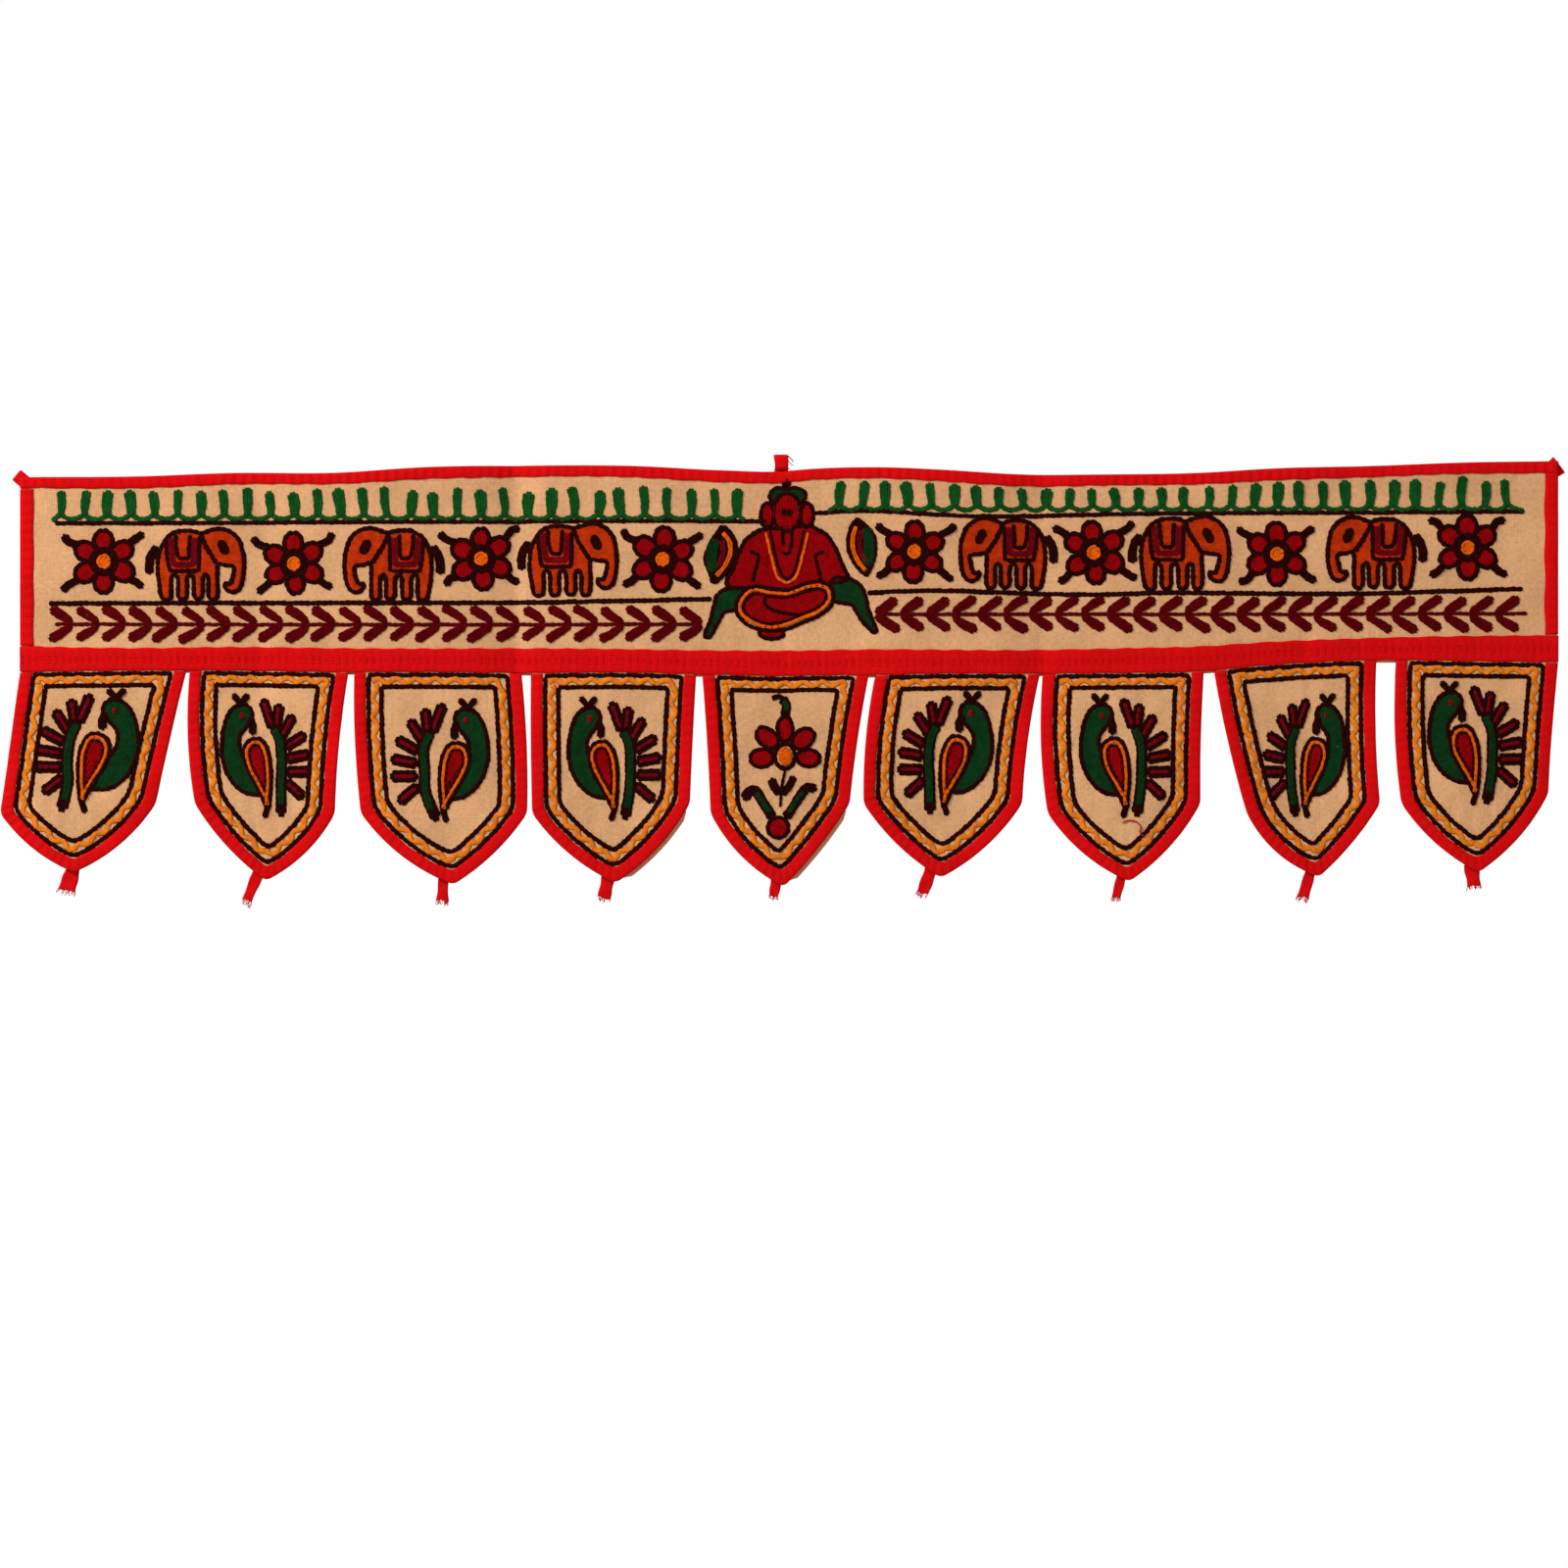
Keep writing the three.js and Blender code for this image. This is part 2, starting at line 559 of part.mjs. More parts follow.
addPiece("main_panel", mainPanel(), CREAM_COTTON);
addPiece("top_binding", topBinding(), RED_COTTON);
addPiece("side_binding_left", sideBinding(LEFT, LEFT + SIDE_BINDING), RED_COTTON);
addPiece("side_binding_right", sideBinding(RIGHT, RIGHT - SIDE_BINDING), RED_COTTON);
addPiece("band", band(), RED_COTTON);
FLAGS.forEach((flag, i) => {
  addPiece(`flag_${i + 1}_cloth`, flagCloth(flag), CREAM_COTTON);
  addPiece(`flag_${i + 1}_binding`, flagBinding(flag), RED_COTTON);
  addPiece(`flag_${i + 1}_tail`, flagTail(flag), RED_COTTON);
});
addPiece("lining", lining(), PEACH_COTTON);
addPiece("middle_loop", middleLoop(), RED_COTTON);
CORNER_TABS.forEach((tab) => addPiece(tab.name, cornerTab(tab), RED_COTTON));

export default toran;
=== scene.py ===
"""Toran door hanging: an embroidered cotton panel with nine pointed flags.

Lengths in the tables and functions are millimetres, turned to metres where a mesh is made.
X runs to the right as seen from the front, Z is up and the front faces -Y. The origin is on
the top edge, at the foot of the middle loop.
"""
import math
import bpy
import numpy as np
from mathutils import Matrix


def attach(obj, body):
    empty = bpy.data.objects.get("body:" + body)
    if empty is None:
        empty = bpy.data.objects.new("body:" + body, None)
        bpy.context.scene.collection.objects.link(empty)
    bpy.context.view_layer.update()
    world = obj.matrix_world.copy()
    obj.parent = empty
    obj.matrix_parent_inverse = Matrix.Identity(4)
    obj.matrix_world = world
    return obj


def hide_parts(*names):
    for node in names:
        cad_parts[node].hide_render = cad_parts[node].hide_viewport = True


bl_info = {
    "name": "Toran Door Hanging",
    "version": (1, 0, 0),
    "blender": (4, 5, 0),
    "location": "3D View > Sidebar > Toran",
    "description": "Makes the cloth, bindings and embroidery of a toran over its frame",
    "category": "Object",
}

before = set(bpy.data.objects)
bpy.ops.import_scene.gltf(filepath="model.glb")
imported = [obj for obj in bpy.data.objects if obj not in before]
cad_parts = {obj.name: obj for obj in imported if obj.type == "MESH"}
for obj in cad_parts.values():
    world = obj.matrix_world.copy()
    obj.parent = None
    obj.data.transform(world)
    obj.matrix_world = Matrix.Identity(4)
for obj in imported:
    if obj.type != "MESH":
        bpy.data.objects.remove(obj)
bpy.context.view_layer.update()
BODY = "root"
MM = 0.001

# Thickness of the layers and the room between them. A red strip lies over the cloth's edge.
CLOTH = 1.2
STRIP_LAYER = 0.6
CLEAR = 0.3
STRIP_HALF = CLOTH / 2 + CLEAR + STRIP_LAYER
CLOTH_EDGE = STRIP_LAYER + CLEAR

# Widths of the red strips, and how far a cloth edge is tucked into the band.
TOP_BINDING = 7.6
SIDE_BINDING = 9.0
FLAG_BINDING = 8.0
BAND_HEIGHT = 16
TUCK = 5.0
LEFT, RIGHT = -497.0, 507.5

# Distance between the rings of a long strip, and between the columns of the main panel.
STRIP_SPACING, PANEL_SPACING = 1.6, 2.4

# Reach of the puckers that a seam draws up in the cloth beside it.
PUCKER_REACH = 5

# Stations on a flag's edge: down a side, and along a cheek from the side to the tip.
SIDE_STEPS, CHEEK_STEPS = 4, 3
TIP_STATION = SIDE_STEPS + CHEEK_STEPS


def by_column(columns, rows):
    """A table of numbers as a dictionary of its columns."""
    return dict(zip(columns.split(), np.array(rows, float).T))


def by_row(columns, rows):
    """A table as a list of rows, each a dictionary by the names of the columns."""
    return [dict(zip(columns.split(), row)) for row in rows]


# Heights of the long edges at places along X: the panel's top, the band's top and its foot.
EDGES = by_column("x top band_top band_foot", [
    (LEFT, -3.8, -114.2, -131.2), (-420, -3.2, -115.2, -130.2), (-356, -1, -114.9, -130.2),
    (-292, -1, -115.5, -131.2), (-228, 2.9, -115.5, -131.2), (-164, 3.8, -115.8, -131.8),
    (-100, 3.5, -116.2, -131.5), (-36, 0.6, -116.8, -133.1), (0, 0, -117.1, -133.8),
    (15, 1.3, -117.1, -133.4), (66, 2.6, -116.5, -133.1), (104, 1, -116.5, -132.2),
    (155, -1.9, -116.5, -132.2), (220, -1.9, -115.8, -131.8), (271, -1, -114.6, -130.9),
    (322, 1.9, -111, -126.4), (386, 3.5, -108.8, -123.5), (450, 5.8, -107.8, -124.2),
    (RIGHT, 6.7, -106.9, -124.8),
])

# Soft folds: low is the depth at the band and high the depth at the top edge.
FOLDS = by_column("x width low high", [
    (-430, 40, -1.2, 1.4), (-344, 17, 1.6, 0.9), (-260, 36, -1.5, -2.2), (-176, 15, 2.4, 2.8),
    (-95, 38, -1.4, -2.4), (10, 30, 1.2, 0.8), (100, 40, -1.8, -2.6), (168, 15, 2.2, 2),
    (252, 40, -1.4, 1.2), (340, 17, 1.8, -1.4), (430, 34, -1.6, -1.8),
])

# Sharp creases where the hanging was folded flat: place, depth and reach to either side.
CREASES = by_column("x depth reach", [
    (-340, 0.8, 5), (-173, 1.6, 6.5), (2, 0.6, 5), (170, 0.9, 5), (343, 0.9, 5),
])

# The flags: X of the two corners at the band, the left and right corners and the tip, how far
# the sides bow and the cheeks swell, sway of the tip, curl of the sides, and the tail's root,
# end and width at each.
FLAGS = by_row("top left right tip bow cheek sway cup tail", [
    ((-497, -388.2), (-510.1, -223.4), (-408.3, -217), (-461.4, -262), (0, -0.5), (4.4, 5.4),
     -3, 2.4, ((-461.4, -257.5), (-467.4, -276.5), (8.5, 12))),
    ((-386.2, -282.4), (-382.7, -217), (-291.2, -223.4), (-336.6, -267.5), (2.8, -1.6), (3.5, 5),
     2, -1.8, ((-341, -260.5), (-350.7, -283.5), (8, 6.5))),
    ((-278.7, -169.6), (-274.6, -223.4), (-165.8, -223.4), (-214, -270), (1.6, 1.5), (5.6, 3.7),
     -1.6, 1.6, ((-220.5, -263), (-221.4, -283.5), (6, 8))),
    ((-163.5, -55.4), (-162.6, -223.4), (-59.5, -217), (-108.2, -269), (0.4, -0.2), (4.7, 4.5),
     2.4, -1.4, ((-112.4, -262.5), (-116.5, -281.6), (9, 8.5))),
    ((-51.5, 57.2), (-46.1, -223.4), (44.8, -217), (1.6, -271.4), (-0.5, -1), (5.4, 2),
     -2.4, 2, ((-2.4, -264), (-5.4, -279.7), (8.5, 6))),
    ((61.4, 169.2), (53.8, -217), (157.4, -217), (104.3, -265.5), (2.4, -2), (4, 4.7),
     1.6, -2, ((98.5, -258.5), (91.5, -278.4), (8.5, 8))),
    ((170.9, 276), (174.1, -223.4), (273.9, -217), (227, -268), (2.8, -0.8), (5, 4.2),
     -1.8, 1.6, ((222.8, -262), (218.2, -281), (6.5, 6))),
    ((282.6, 388.8), (304, -223.4), (391, -217), (351.4, -265), (1.6, -1.8), (6.2, 2.5),
     3, -2.6, ((346.8, -259), (340.5, -281.6), (6.5, 8))),
    ((401.3, RIGHT), (405.1, -217), (501.1, -210.6), (455, -262), (2.4, -0.6), (4.4, 4.5),
     -2, 2.2, ((450.5, -256.5), (453.1, -273.3), (10, 8.5))),
])

LINING = {"thickness": 1.0, "clear": 0.35, "inset": 2.5, "head": 2.5, "notch": 1.2, "puff": 2.5}

# How far the lining shows past the right cheek of some flags.
LINING_PAST = {3: 2.6, 4: 2.6}

# The tails: room in depth, cloth, curl at the end, and the share that isn't frayed.
TAIL = {"room": 1.4, "thickness": 0.8, "curl": 1.6, "whole": 0.86}

# The tabs: from a root to an outer end, with the width at each.
TABS = by_row("name root end width", [
    ("corner_tab_left", (-487.5, -12.5), (-500, -2), (9, 8.6)),
    ("corner_tab_right", (496.5, -4.5), (508.8, 4.6), (9.5, 13)),
])
TAB_LAYER = 0.9

# The loop: its strip, how high it rises over the top edge and how far the eye's foot is
# lifted off it, the depth of the eye and the length of the two ends behind the binding.
LOOP = {"x": 0, "width": 9.2, "layer": 1.2, "rise": 11, "lift": 1.1, "eye": 5.8, "tail": 7}

# Seeds of the random draws. Where there are several pieces of a kind, each adds its number.
SEEDS = {"handling": 7, "middle_loop": 5, "top_binding": 11, "side_binding_left": 12,
         "side_binding_right": 13, "motifs": 21, "tabs": 30, "flag_bindings": 40, "tails": 60,
         "flag_stitches": 80, "panel_stitches": 100}


# Cloth surface

def read_rows(x, places, values):
    """Smooth reading of rows: between two rows a cubic whose slope at each row is the slope
    between its neighbours."""
    slopes = np.gradient(values, places)
    x = np.clip(x, places[0], places[-1])
    i = np.clip(np.searchsorted(places, x) - 1, 0, len(places) - 2)
    span = places[i + 1] - places[i]
    t = (x - places[i]) / span
    start = values[i] * (2 * t**3 - 3 * t**2 + 1) + span * slopes[i] * (t**3 - 2 * t**2 + t)
    return start + values[i + 1] * (3 * t**2 - 2 * t**3) + span * slopes[i + 1] * (t**3 - t**2)


def edge_at(x, name):
    """Z of a long edge at X, read from its column of the table of edges."""
    return read_rows(np.asarray(x, float), EDGES["x"], EDGES[name])


def fold_depth(x, rise):
    """Depth of the cloth's middle: a sum of bells across X, exp(-((x - place) / width)^2),
    each with a height that runs straight from low at the band to high at the top edge, and
    of creases, exp(-|x - place| / reach)."""
    x = np.asarray(x, float)[..., None]
    share = np.clip(np.asarray(rise, float), 0, 1)[..., None]
    bells = np.exp(-(((x - FOLDS["x"]) / FOLDS["width"]) ** 2))
    height = FOLDS["low"] + (FOLDS["high"] - FOLDS["low"]) * share
    creases = CREASES["depth"] * np.exp(-np.abs(x - CREASES["x"]) / CREASES["reach"])
    return (bells * height).sum(-1) + creases.sum(-1)


def seeded_waves(seed, count, shortest, longest, upright):
    """Wave numbers and phases of random waves. upright near 1 turns the crests upright."""
    random = np.random.default_rng(seed)
    length = random.uniform(shortest, longest, count)
    lean = random.uniform(-1, 1, count) * (1 - upright) * math.pi / 2
    phase = random.uniform(0, 2 * math.pi, count)
    return np.stack([2 * math.pi * np.cos(lean) / length,
                     2 * math.pi * np.sin(lean) / length, phase])


HANDLING = seeded_waves(SEEDS["handling"], count=12, shortest=14, longest=60, upright=0.45)
WRINKLE = 0.85


def wrinkles(x, z):
    """Small creases from handling: the mean of waves that run in seeded directions, each
    sharpened at its crest by taking one minus twice the root of a sine's size."""
    x, z = np.asarray(x, float)[..., None], np.asarray(z, float)[..., None]
    waves = np.sin(HANDLING[0] * x + HANDLING[1] * z + HANDLING[2])
    return WRINKLE * (1 - 2 * np.sqrt(np.abs(waves))).mean(-1)


def panel_rise(x, z):
    """Share of the way up the panel: 0 at the band and 1 at the top binding's foot."""
    foot = edge_at(x, "band_top")
    return (z - foot) / (edge_at(x, "top") - TOP_BINDING - foot)


def panel_depth(x, z):
    """Depth of the main panel's middle, with the fine puckers that its seams draw up: a sine
    along X that fades over 5 mm from the top binding and from the band."""
    near_top = np.exp(-np.abs(edge_at(x, "top") - TOP_BINDING - z) / PUCKER_REACH)
    near_band = np.exp(-np.abs(z - edge_at(x, "band_top")) / PUCKER_REACH)
    height, pitch = 0.22, 6.4
    pucker = height * np.sin(2 * math.pi * x / pitch + 1.3 * np.sin(x / 23))
    return fold_depth(x, panel_rise(x, z)) + wrinkles(x, z) + pucker * (near_top + near_band)


def flag_depth(flag, x, z):
    """Depth of a flag's middle: the band's own folds fade out as (1 - share)^2, the tip sways
    by sway times share, the sides curl by cup times the square of the place across, and the
    wrinkles are deeper than on the panel."""
    curled, wrinkled = 1.5, 1.8
    drop = np.maximum(0, edge_at(x, "band_foot") - z)
    share = drop / (edge_at(flag["tip"][0], "band_foot") - flag["tip"][1])
    left, right = flag["top"]
    upright = x - (flag["tip"][0] - (left + right) / 2) * share
    across = (upright - (left + right) / 2) / ((right - left) / 2)
    held = np.clip(share, 0, 1)
    curl = flag["cup"] * across**2 * np.sin(0.75 * math.pi * held) * np.minimum(1, 3 * share)
    return (fold_depth(upright, 0 * upright) * (1 - held) ** 2 + flag["sway"] * share
            + curled * curl + wrinkled * wrinkles(x, z) * np.minimum(1, share * 6))


# Curves in the X and Z plane

# A row that is shorter than this is left out of a filled shape.
SHORTEST_ROW = 0.6


def through(points, closed=False):
    """A curve through the points: Catmull-Rom cubics, ten steps to each."""
    p = np.asarray(points, float)
    if len(p) < 3 and not closed:
        return p
    ends = (p[-1:], p[:2]) if closed else (2 * p[:1] - p[1:2], 2 * p[-1:] - p[-2:-1])
    p = np.vstack([ends[0], p, ends[1]])
    t = np.linspace(0, 1, 10, endpoint=False)[:, None]
    a, b, c, d = (p[i:len(p) - 3 + i, None] for i in range(4))
    curve = 0.5 * (2 * b + (c - a) * t + (2 * a - 5 * b + 4 * c - d) * t**2
                   + (3 * b - a - 3 * c + d) * t**3)
    return np.vstack([curve.reshape(-1, 2), p[-2]])


def path_length(path):
    """Length of a flat path: the sum of the lengths of its steps."""
    return np.hypot(*np.diff(path, axis=0).T).sum()


def distance_along(path):
    """The distance of each point of a path from its start."""
    return np.r_[0, np.cumsum(np.linalg.norm(np.diff(path, axis=0), axis=-1))]


def even_steps(path, count):
    """The path read again at equal steps along its length, and the distance of each step."""
    length = distance_along(path)
    s = np.linspace(0, length[-1], count + 1)
    return np.stack([np.interp(s, length, path[:, k]) for k in (0, 1)], -1), s


def sideways(path):
    """Unit vectors to the left of a path's direction."""
    way = np.gradient(path, axis=0)
    way /= np.maximum(np.hypot(*way.T), 1e-9)[:, None]
    return np.stack([-way[:, 1], way[:, 0]], -1)


def signed_area(outline):
    """The area in a closed curve, positive if it runs anticlockwise."""
    a, b = outline, np.roll(outline, -1, axis=0)
    return (a[:, 0] * b[:, 1] - a[:, 1] * b[:, 0]).sum() / 2


def grown(outline, distance):
    """A closed curve moved outwards everywhere by a distance, or inwards if it is negative."""
    path, _ = even_steps(outline, max(24, len(outline) // 2))
    ring = np.vstack([path[-2], path, path[1]])
    return path - sideways(ring)[1:-1] * distance * np.sign(signed_area(path))


def turning(angle):
    """The matrix that turns rows of X and Z anticlockwise by an angle."""
    c, s = math.cos(angle), math.sin(angle)
    return np.array([(c, s), (-s, c)])


def hatch(outline, angle, spacing, margin):
    """Rows across a closed shape: the shape is turned by the angle, level lines are cut
    where they cross its outline, and the cuts are turned back."""
    turned = outline @ turning(-angle)
    a, b = turned, np.roll(turned, -1, axis=0)
    low, high = turned[:, 1].min(), turned[:, 1].max()
    count = max(1, int((high - low - 2 * margin) / spacing) + 1)
    centre = (low + high) / 2
    rows = []
    for level in centre + (np.arange(count) - (count - 1) / 2) * spacing:
        cut = (a[:, 1] <= level) != (b[:, 1] <= level)
        share = (level - a[cut, 1]) / (b[cut, 1] - a[cut, 1])
        at = np.sort(a[cut, 0] + share * (b[cut, 0] - a[cut, 0]))
        for left, right in zip(at[::2] + margin, at[1::2] - margin):
            if right - left > SHORTEST_ROW:
                rows.append(np.array([(left, level), (right, level)]) @ turning(angle))
    return rows


# Meshes

def facing_out(points, faces):
    """The faces, all turned round if the volume that they enclose is negative."""
    p = points[faces]
    volume = sum(np.einsum("ij,ij->", p[:, 0], np.cross(p[:, k], p[:, k + 1])) for k in (1, 2))
    return faces[:, ::-1] if volume < 0 else faces


def tube(rings):
    """Quads round each pair of neighbouring rings, and a ladder of quads over each end."""
    count, size = rings.shape[:2]
    i, j = np.arange(count - 1)[:, None] * size, np.arange(size)[None]
    a, b = i + j, i + (j + 1) % size
    k = np.arange(size // 2 - 1)
    cap = np.stack([k, size - 1 - k, size - 2 - k, k + 1], -1)
    sides = np.stack([a, b, b + size, a + size], -1).reshape(-1, 4)
    faces = np.vstack([sides, cap, (cap + (count - 1) * size)[:, ::-1]])
    points = rings.reshape(-1, 3)
    return points, facing_out(points, faces)


def in_space(xz, depth):
    """Points at X and Z whose Y is the depth."""
    return np.stack([xz[..., 0], np.broadcast_to(depth, xz.shape[:-1]), xz[..., 1]], -1)


def index_grid(points, first=0):
    """Numbers for the rows and columns of a grid of points."""
    rows, columns = points.shape[:2]
    return first + np.arange(rows * columns).reshape(rows, columns)


def grid_faces(index):
    """Quads between the rows and columns of an index grid."""
    return np.stack([index[:-1, :-1], index[1:, :-1], index[1:, 1:], index[:-1, 1:]],
                    -1).reshape(-1, 4)


def thickened(middle, faces, thickness):
    """A sheet: its middle moved to the front and to the back by half its thickness, and
    closed along every edge that only one face uses."""
    count = len(middle)
    half = np.array([0, thickness / 2, 0])
    edges = np.stack([faces, np.roll(faces, -1, axis=1)], -1).reshape(-1, 2)
    key = edges.min(1) * count + edges.max(1)
    _, where, times = np.unique(key, return_inverse=True, return_counts=True)
    a, b = edges[times[where.ravel()] == 1].T
    rim = np.stack([b, a, a + count, b + count], -1)
    points = np.vstack([middle - half, middle + half])
    return points, facing_out(points, np.vstack([faces, faces[:, ::-1] + count, rim]))


def grid_uv(along, across):
    """UV of rings: distance along the piece, and distance across or round it."""
    return np.stack(np.broadcast_arrays(along[:, None], across[None]), -1).reshape(-1, 2)


class Shells:
    """Closed shells collected into one mesh, each with its UV in metres and its material."""

    def __init__(self):
        self.points, self.faces, self.uv, self.which, self.count = [], [], [], [], 0

    def add(self, shell, uv, material=0):
        """Takes in one shell, its faces numbered on from the points that are there."""
        points, faces = shell
        self.points.append(points)
        self.faces.append(faces + self.count)
        self.uv.append(uv)
        self.which.append(np.full(len(faces), material))
        self.count += len(points)

    def add_strip(self, rings, along):
        """Adds a strip by its rings and the distance of each along it. The other direction
        of its UV is the distance round its section."""
        around = distance_along(rings[len(rings) // 2])
        self.add(tube(rings), grid_uv(along, around))

    def add_threads(self, loose, length):
        """Adds loose threads by their rings. The length is for their UV."""
        for rings in loose:
            self.add_strip(rings, np.linspace(0, length, len(rings)))

    def add_sheet(self, middle, faces, thickness):
        """Adds a sheet by its middle. Its UV is X and Z, the same on both faces."""
        self.add(thickened(middle, faces, thickness), np.tile(middle[:, [0, 2]], (2, 1)))

    def add_grid(self, points, thickness):
        """Adds a sheet by the rows and columns of its middle."""
        self.add_sheet(points.reshape(-1, 3), grid_faces(index_grid(points)), thickness)

    def as_cloth(self, node, slot="red_cotton"):
        """Makes the piece of cloth that stands in the place of one node."""
        return self.finish(f"{node}_cotton", [finishes()[CLOTHS[slot]]], [node])

    def finish(self, name, materials, stands_for=()):
        """Makes the mesh object, rides it on the body and hides the nodes it stands for."""
        points, faces = np.vstack(self.points) * MM, np.vstack(self.faces)
        uv = np.vstack(self.uv) * MM
        mesh = bpy.data.meshes.new(name)
        mesh.vertices.add(len(points))
        mesh.vertices.foreach_set("co", points.ravel())
        mesh.loops.add(faces.size)
        mesh.loops.foreach_set("vertex_index", faces.ravel().astype(np.int32))
        mesh.polygons.add(len(faces))
        mesh.polygons.foreach_set("loop_start", np.arange(0, faces.size, 4, dtype=np.int32))
        mesh.polygons.foreach_set("material_index", np.concatenate(self.which).astype(np.int32))
        mesh.polygons.foreach_set("use_smooth", np.ones(len(faces), bool))
        mesh.update(calc_edges=True)
        layer = mesh.uv_layers.new(name="cloth_metres")
        layer.data.foreach_set("uv", uv[faces.ravel()].ravel())
        for material in materials:
            mesh.materials.append(material)
        mesh.validate()
        piece = bpy.data.objects.new(name, mesh)
        bpy.context.scene.collection.objects.link(piece)
        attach(piece, BODY)
        if stands_for:
            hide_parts(*stands_for)
        return piece


# Materials

# A wave texture at scale 1 repeats every 2 pi / 20 metres.
WAVE_PERIOD = 2 * math.pi / 20

# Depth of the fine bump in metres, and distance between the plies of the yarn.
BUMP_DEPTH, PLY = 0.0003, 0.9

CLOTHS = {"red_cotton": "red_cotton_shirting", "cream_cotton": "cream_brushed_cotton",
          "peach_cotton": "peach_cotton_lining"}
YARNS = ("dark", "maroon", "wine", "crimson", "green", "forest", "orange", "rust", "gold")


def linear(code):
    """An sRGB hex colour as linear light."""
    c = np.array([int(code[i:i + 2], 16) for i in (1, 3, 5)]) / 255
    return tuple(np.where(c <= 0.04045, c / 12.92, ((c + 0.055) / 1.055) ** 2.4))


def add_node(tree, kind, inputs=None, **settings):
    """Adds a node with its settings, and sets or links its inputs."""
    made = tree.nodes.new(kind)
    for name, value in settings.items():
        setattr(made, name, value)
    for name, value in (inputs or {}).items():
        if isinstance(value, bpy.types.NodeSocket):
            tree.links.new(value, made.inputs[name])
        else:
            made.inputs[name].default_value = value
    return made


def new_material(name, roughness, sheen, specular):
    """A material with a plain cloth surface: rough, with a little sheen, and an IOR of 1.5."""
    material = bpy.data.materials.new(name)
    material.use_nodes = True
    tree = material.node_tree
    tree.nodes.clear()
    surface = add_node(tree, "ShaderNodeBsdfPrincipled", {
        "Roughness": roughness, "Sheen Weight": sheen, "Sheen Roughness": 0.6,
        "Specular IOR Level": specular, "IOR": 1.5,
    })
    output = add_node(tree, "ShaderNodeOutputMaterial")
    tree.links.new(surface.outputs["BSDF"], output.inputs["Surface"])
    return material, tree, surface


def tinted(colour, factor):
    """A linear colour times a factor, each channel held between 0 and 1."""
    return tuple(min(1, max(0, c * factor)) for c in colour) + (1,)


def dye_and_raise(tree, surface, colour, spread, shade, ends, height, strength):
    """Colours a surface from darker to lighter by the spread, as the shade runs between its
    two ends, and raises it by a bump of the height."""
    ramp = add_node(tree, "ShaderNodeValToRGB", {"Fac": add_node(tree, "ShaderNodeMapRange", {
        "Value": shade.outputs["Value"], "From Min": ends[0], "From Max": ends[1],
    }).outputs["Result"]})
    for element, factor in zip(ramp.color_ramp.elements, (1 - spread, 1 + spread)):
        element.color = tinted(colour, factor)
    bump = add_node(tree, "ShaderNodeBump", {
        "Height": height, "Strength": strength, "Distance": BUMP_DEPTH})
    tree.links.new(ramp.outputs["Color"], surface.inputs["Base Color"])
    tree.links.new(bump.outputs["Normal"], surface.inputs["Normal"])


def woven_cotton(name, colour, thread, mottling_and_shade, nap, sheen):
    """Plain woven cotton: two sets of threads at right angles in the cloth's own UV, soft blotches
    of lighter and darker colour, and a fine nap that breaks up the light. The blotches are partly
    the cloth's uneven tone and partly painted shade for the light and shade of its folds."""
    material, tree, surface = new_material(name, roughness=0.9, sheen=sheen, specular=0.06)
    place = add_node(tree, "ShaderNodeTexCoord").outputs["UV"]
    centred = add_node(tree, "ShaderNodeMapping", {"Vector": place, "Location": (0, 0.1, 0)})
    vector = centred.outputs["Vector"]
    scale = WAVE_PERIOD / (thread * MM)
    waves = [add_node(tree, "ShaderNodeTexWave", {
        "Vector": vector, "Scale": scale, "Distortion": 1.2, "Detail": 1.5, "Detail Scale": 1.5,
    }, bands_direction=way).outputs["Fac"] for way in ("X", "Y")]
    weave = add_node(tree, "ShaderNodeMath", {0: waves[0], 1: waves[1]}, operation="MULTIPLY")
    # Large soft blotches: partly the cloth's uneven tone, partly painted shade for the light and
    # shade of its folds.
    blotches_and_shade = add_node(tree, "ShaderNodeTexNoise", {"Vector": vector, "Scale": 26, "Detail": 5})
    flecks = add_node(tree, "ShaderNodeTexNoise", {"Vector": vector, "Scale": 420, "Detail": 3})
    blend = add_node(tree, "ShaderNodeMath", {
        0: blotches_and_shade.outputs["Fac"], 1: flecks.outputs["Fac"]}, operation="ADD")
    shade = add_node(tree, "ShaderNodeMath", {
        0: weave.outputs["Value"], 1: 0.22, 2: blend.outputs["Value"]}, operation="MULTIPLY_ADD")
    height = add_node(tree, "ShaderNodeMath", {
        0: flecks.outputs["Fac"], 1: nap, 2: weave.outputs["Value"]}, operation="MULTIPLY_ADD")
    dye_and_raise(tree, surface, colour, spread=mottling_and_shade, shade=shade, ends=(0.72, 1.42),
                  height=height.outputs["Value"], strength=0.7)
    return material


def wool_yarn(name, colour, variation=0.3):
    """Spun wool yarn: plies that twist round the strand in its own UV, and dye that took
    unevenly."""
    material, tree, surface = new_material(name, roughness=0.9, sheen=0.005, specular=0.03)
    coords = add_node(tree, "ShaderNodeTexCoord")
    turned = add_node(tree, "ShaderNodeMapping", {
        "Vector": coords.outputs["UV"], "Rotation": (0, 0, 0.7)})
    plies = add_node(tree, "ShaderNodeTexWave", {
        "Vector": turned.outputs["Vector"], "Scale": WAVE_PERIOD / (PLY * MM),
        "Distortion": 2.5, "Detail": 2, "Detail Scale": 1.4})
    dye = add_node(tree, "ShaderNodeTexNoise", {
        "Vector": coords.outputs["Object"], "Scale": 260, "Detail": 4})
    shade = add_node(tree, "ShaderNodeMath", {
        0: plies.outputs["Fac"], 1: 0.25, 2: dye.outputs["Fac"]}, operation="MULTIPLY_ADD")
    dye_and_raise(tree, surface, colour, spread=variation, shade=shade, ends=(0.4, 0.9),
                  height=plies.outputs["Fac"], strength=0.6)
    return material


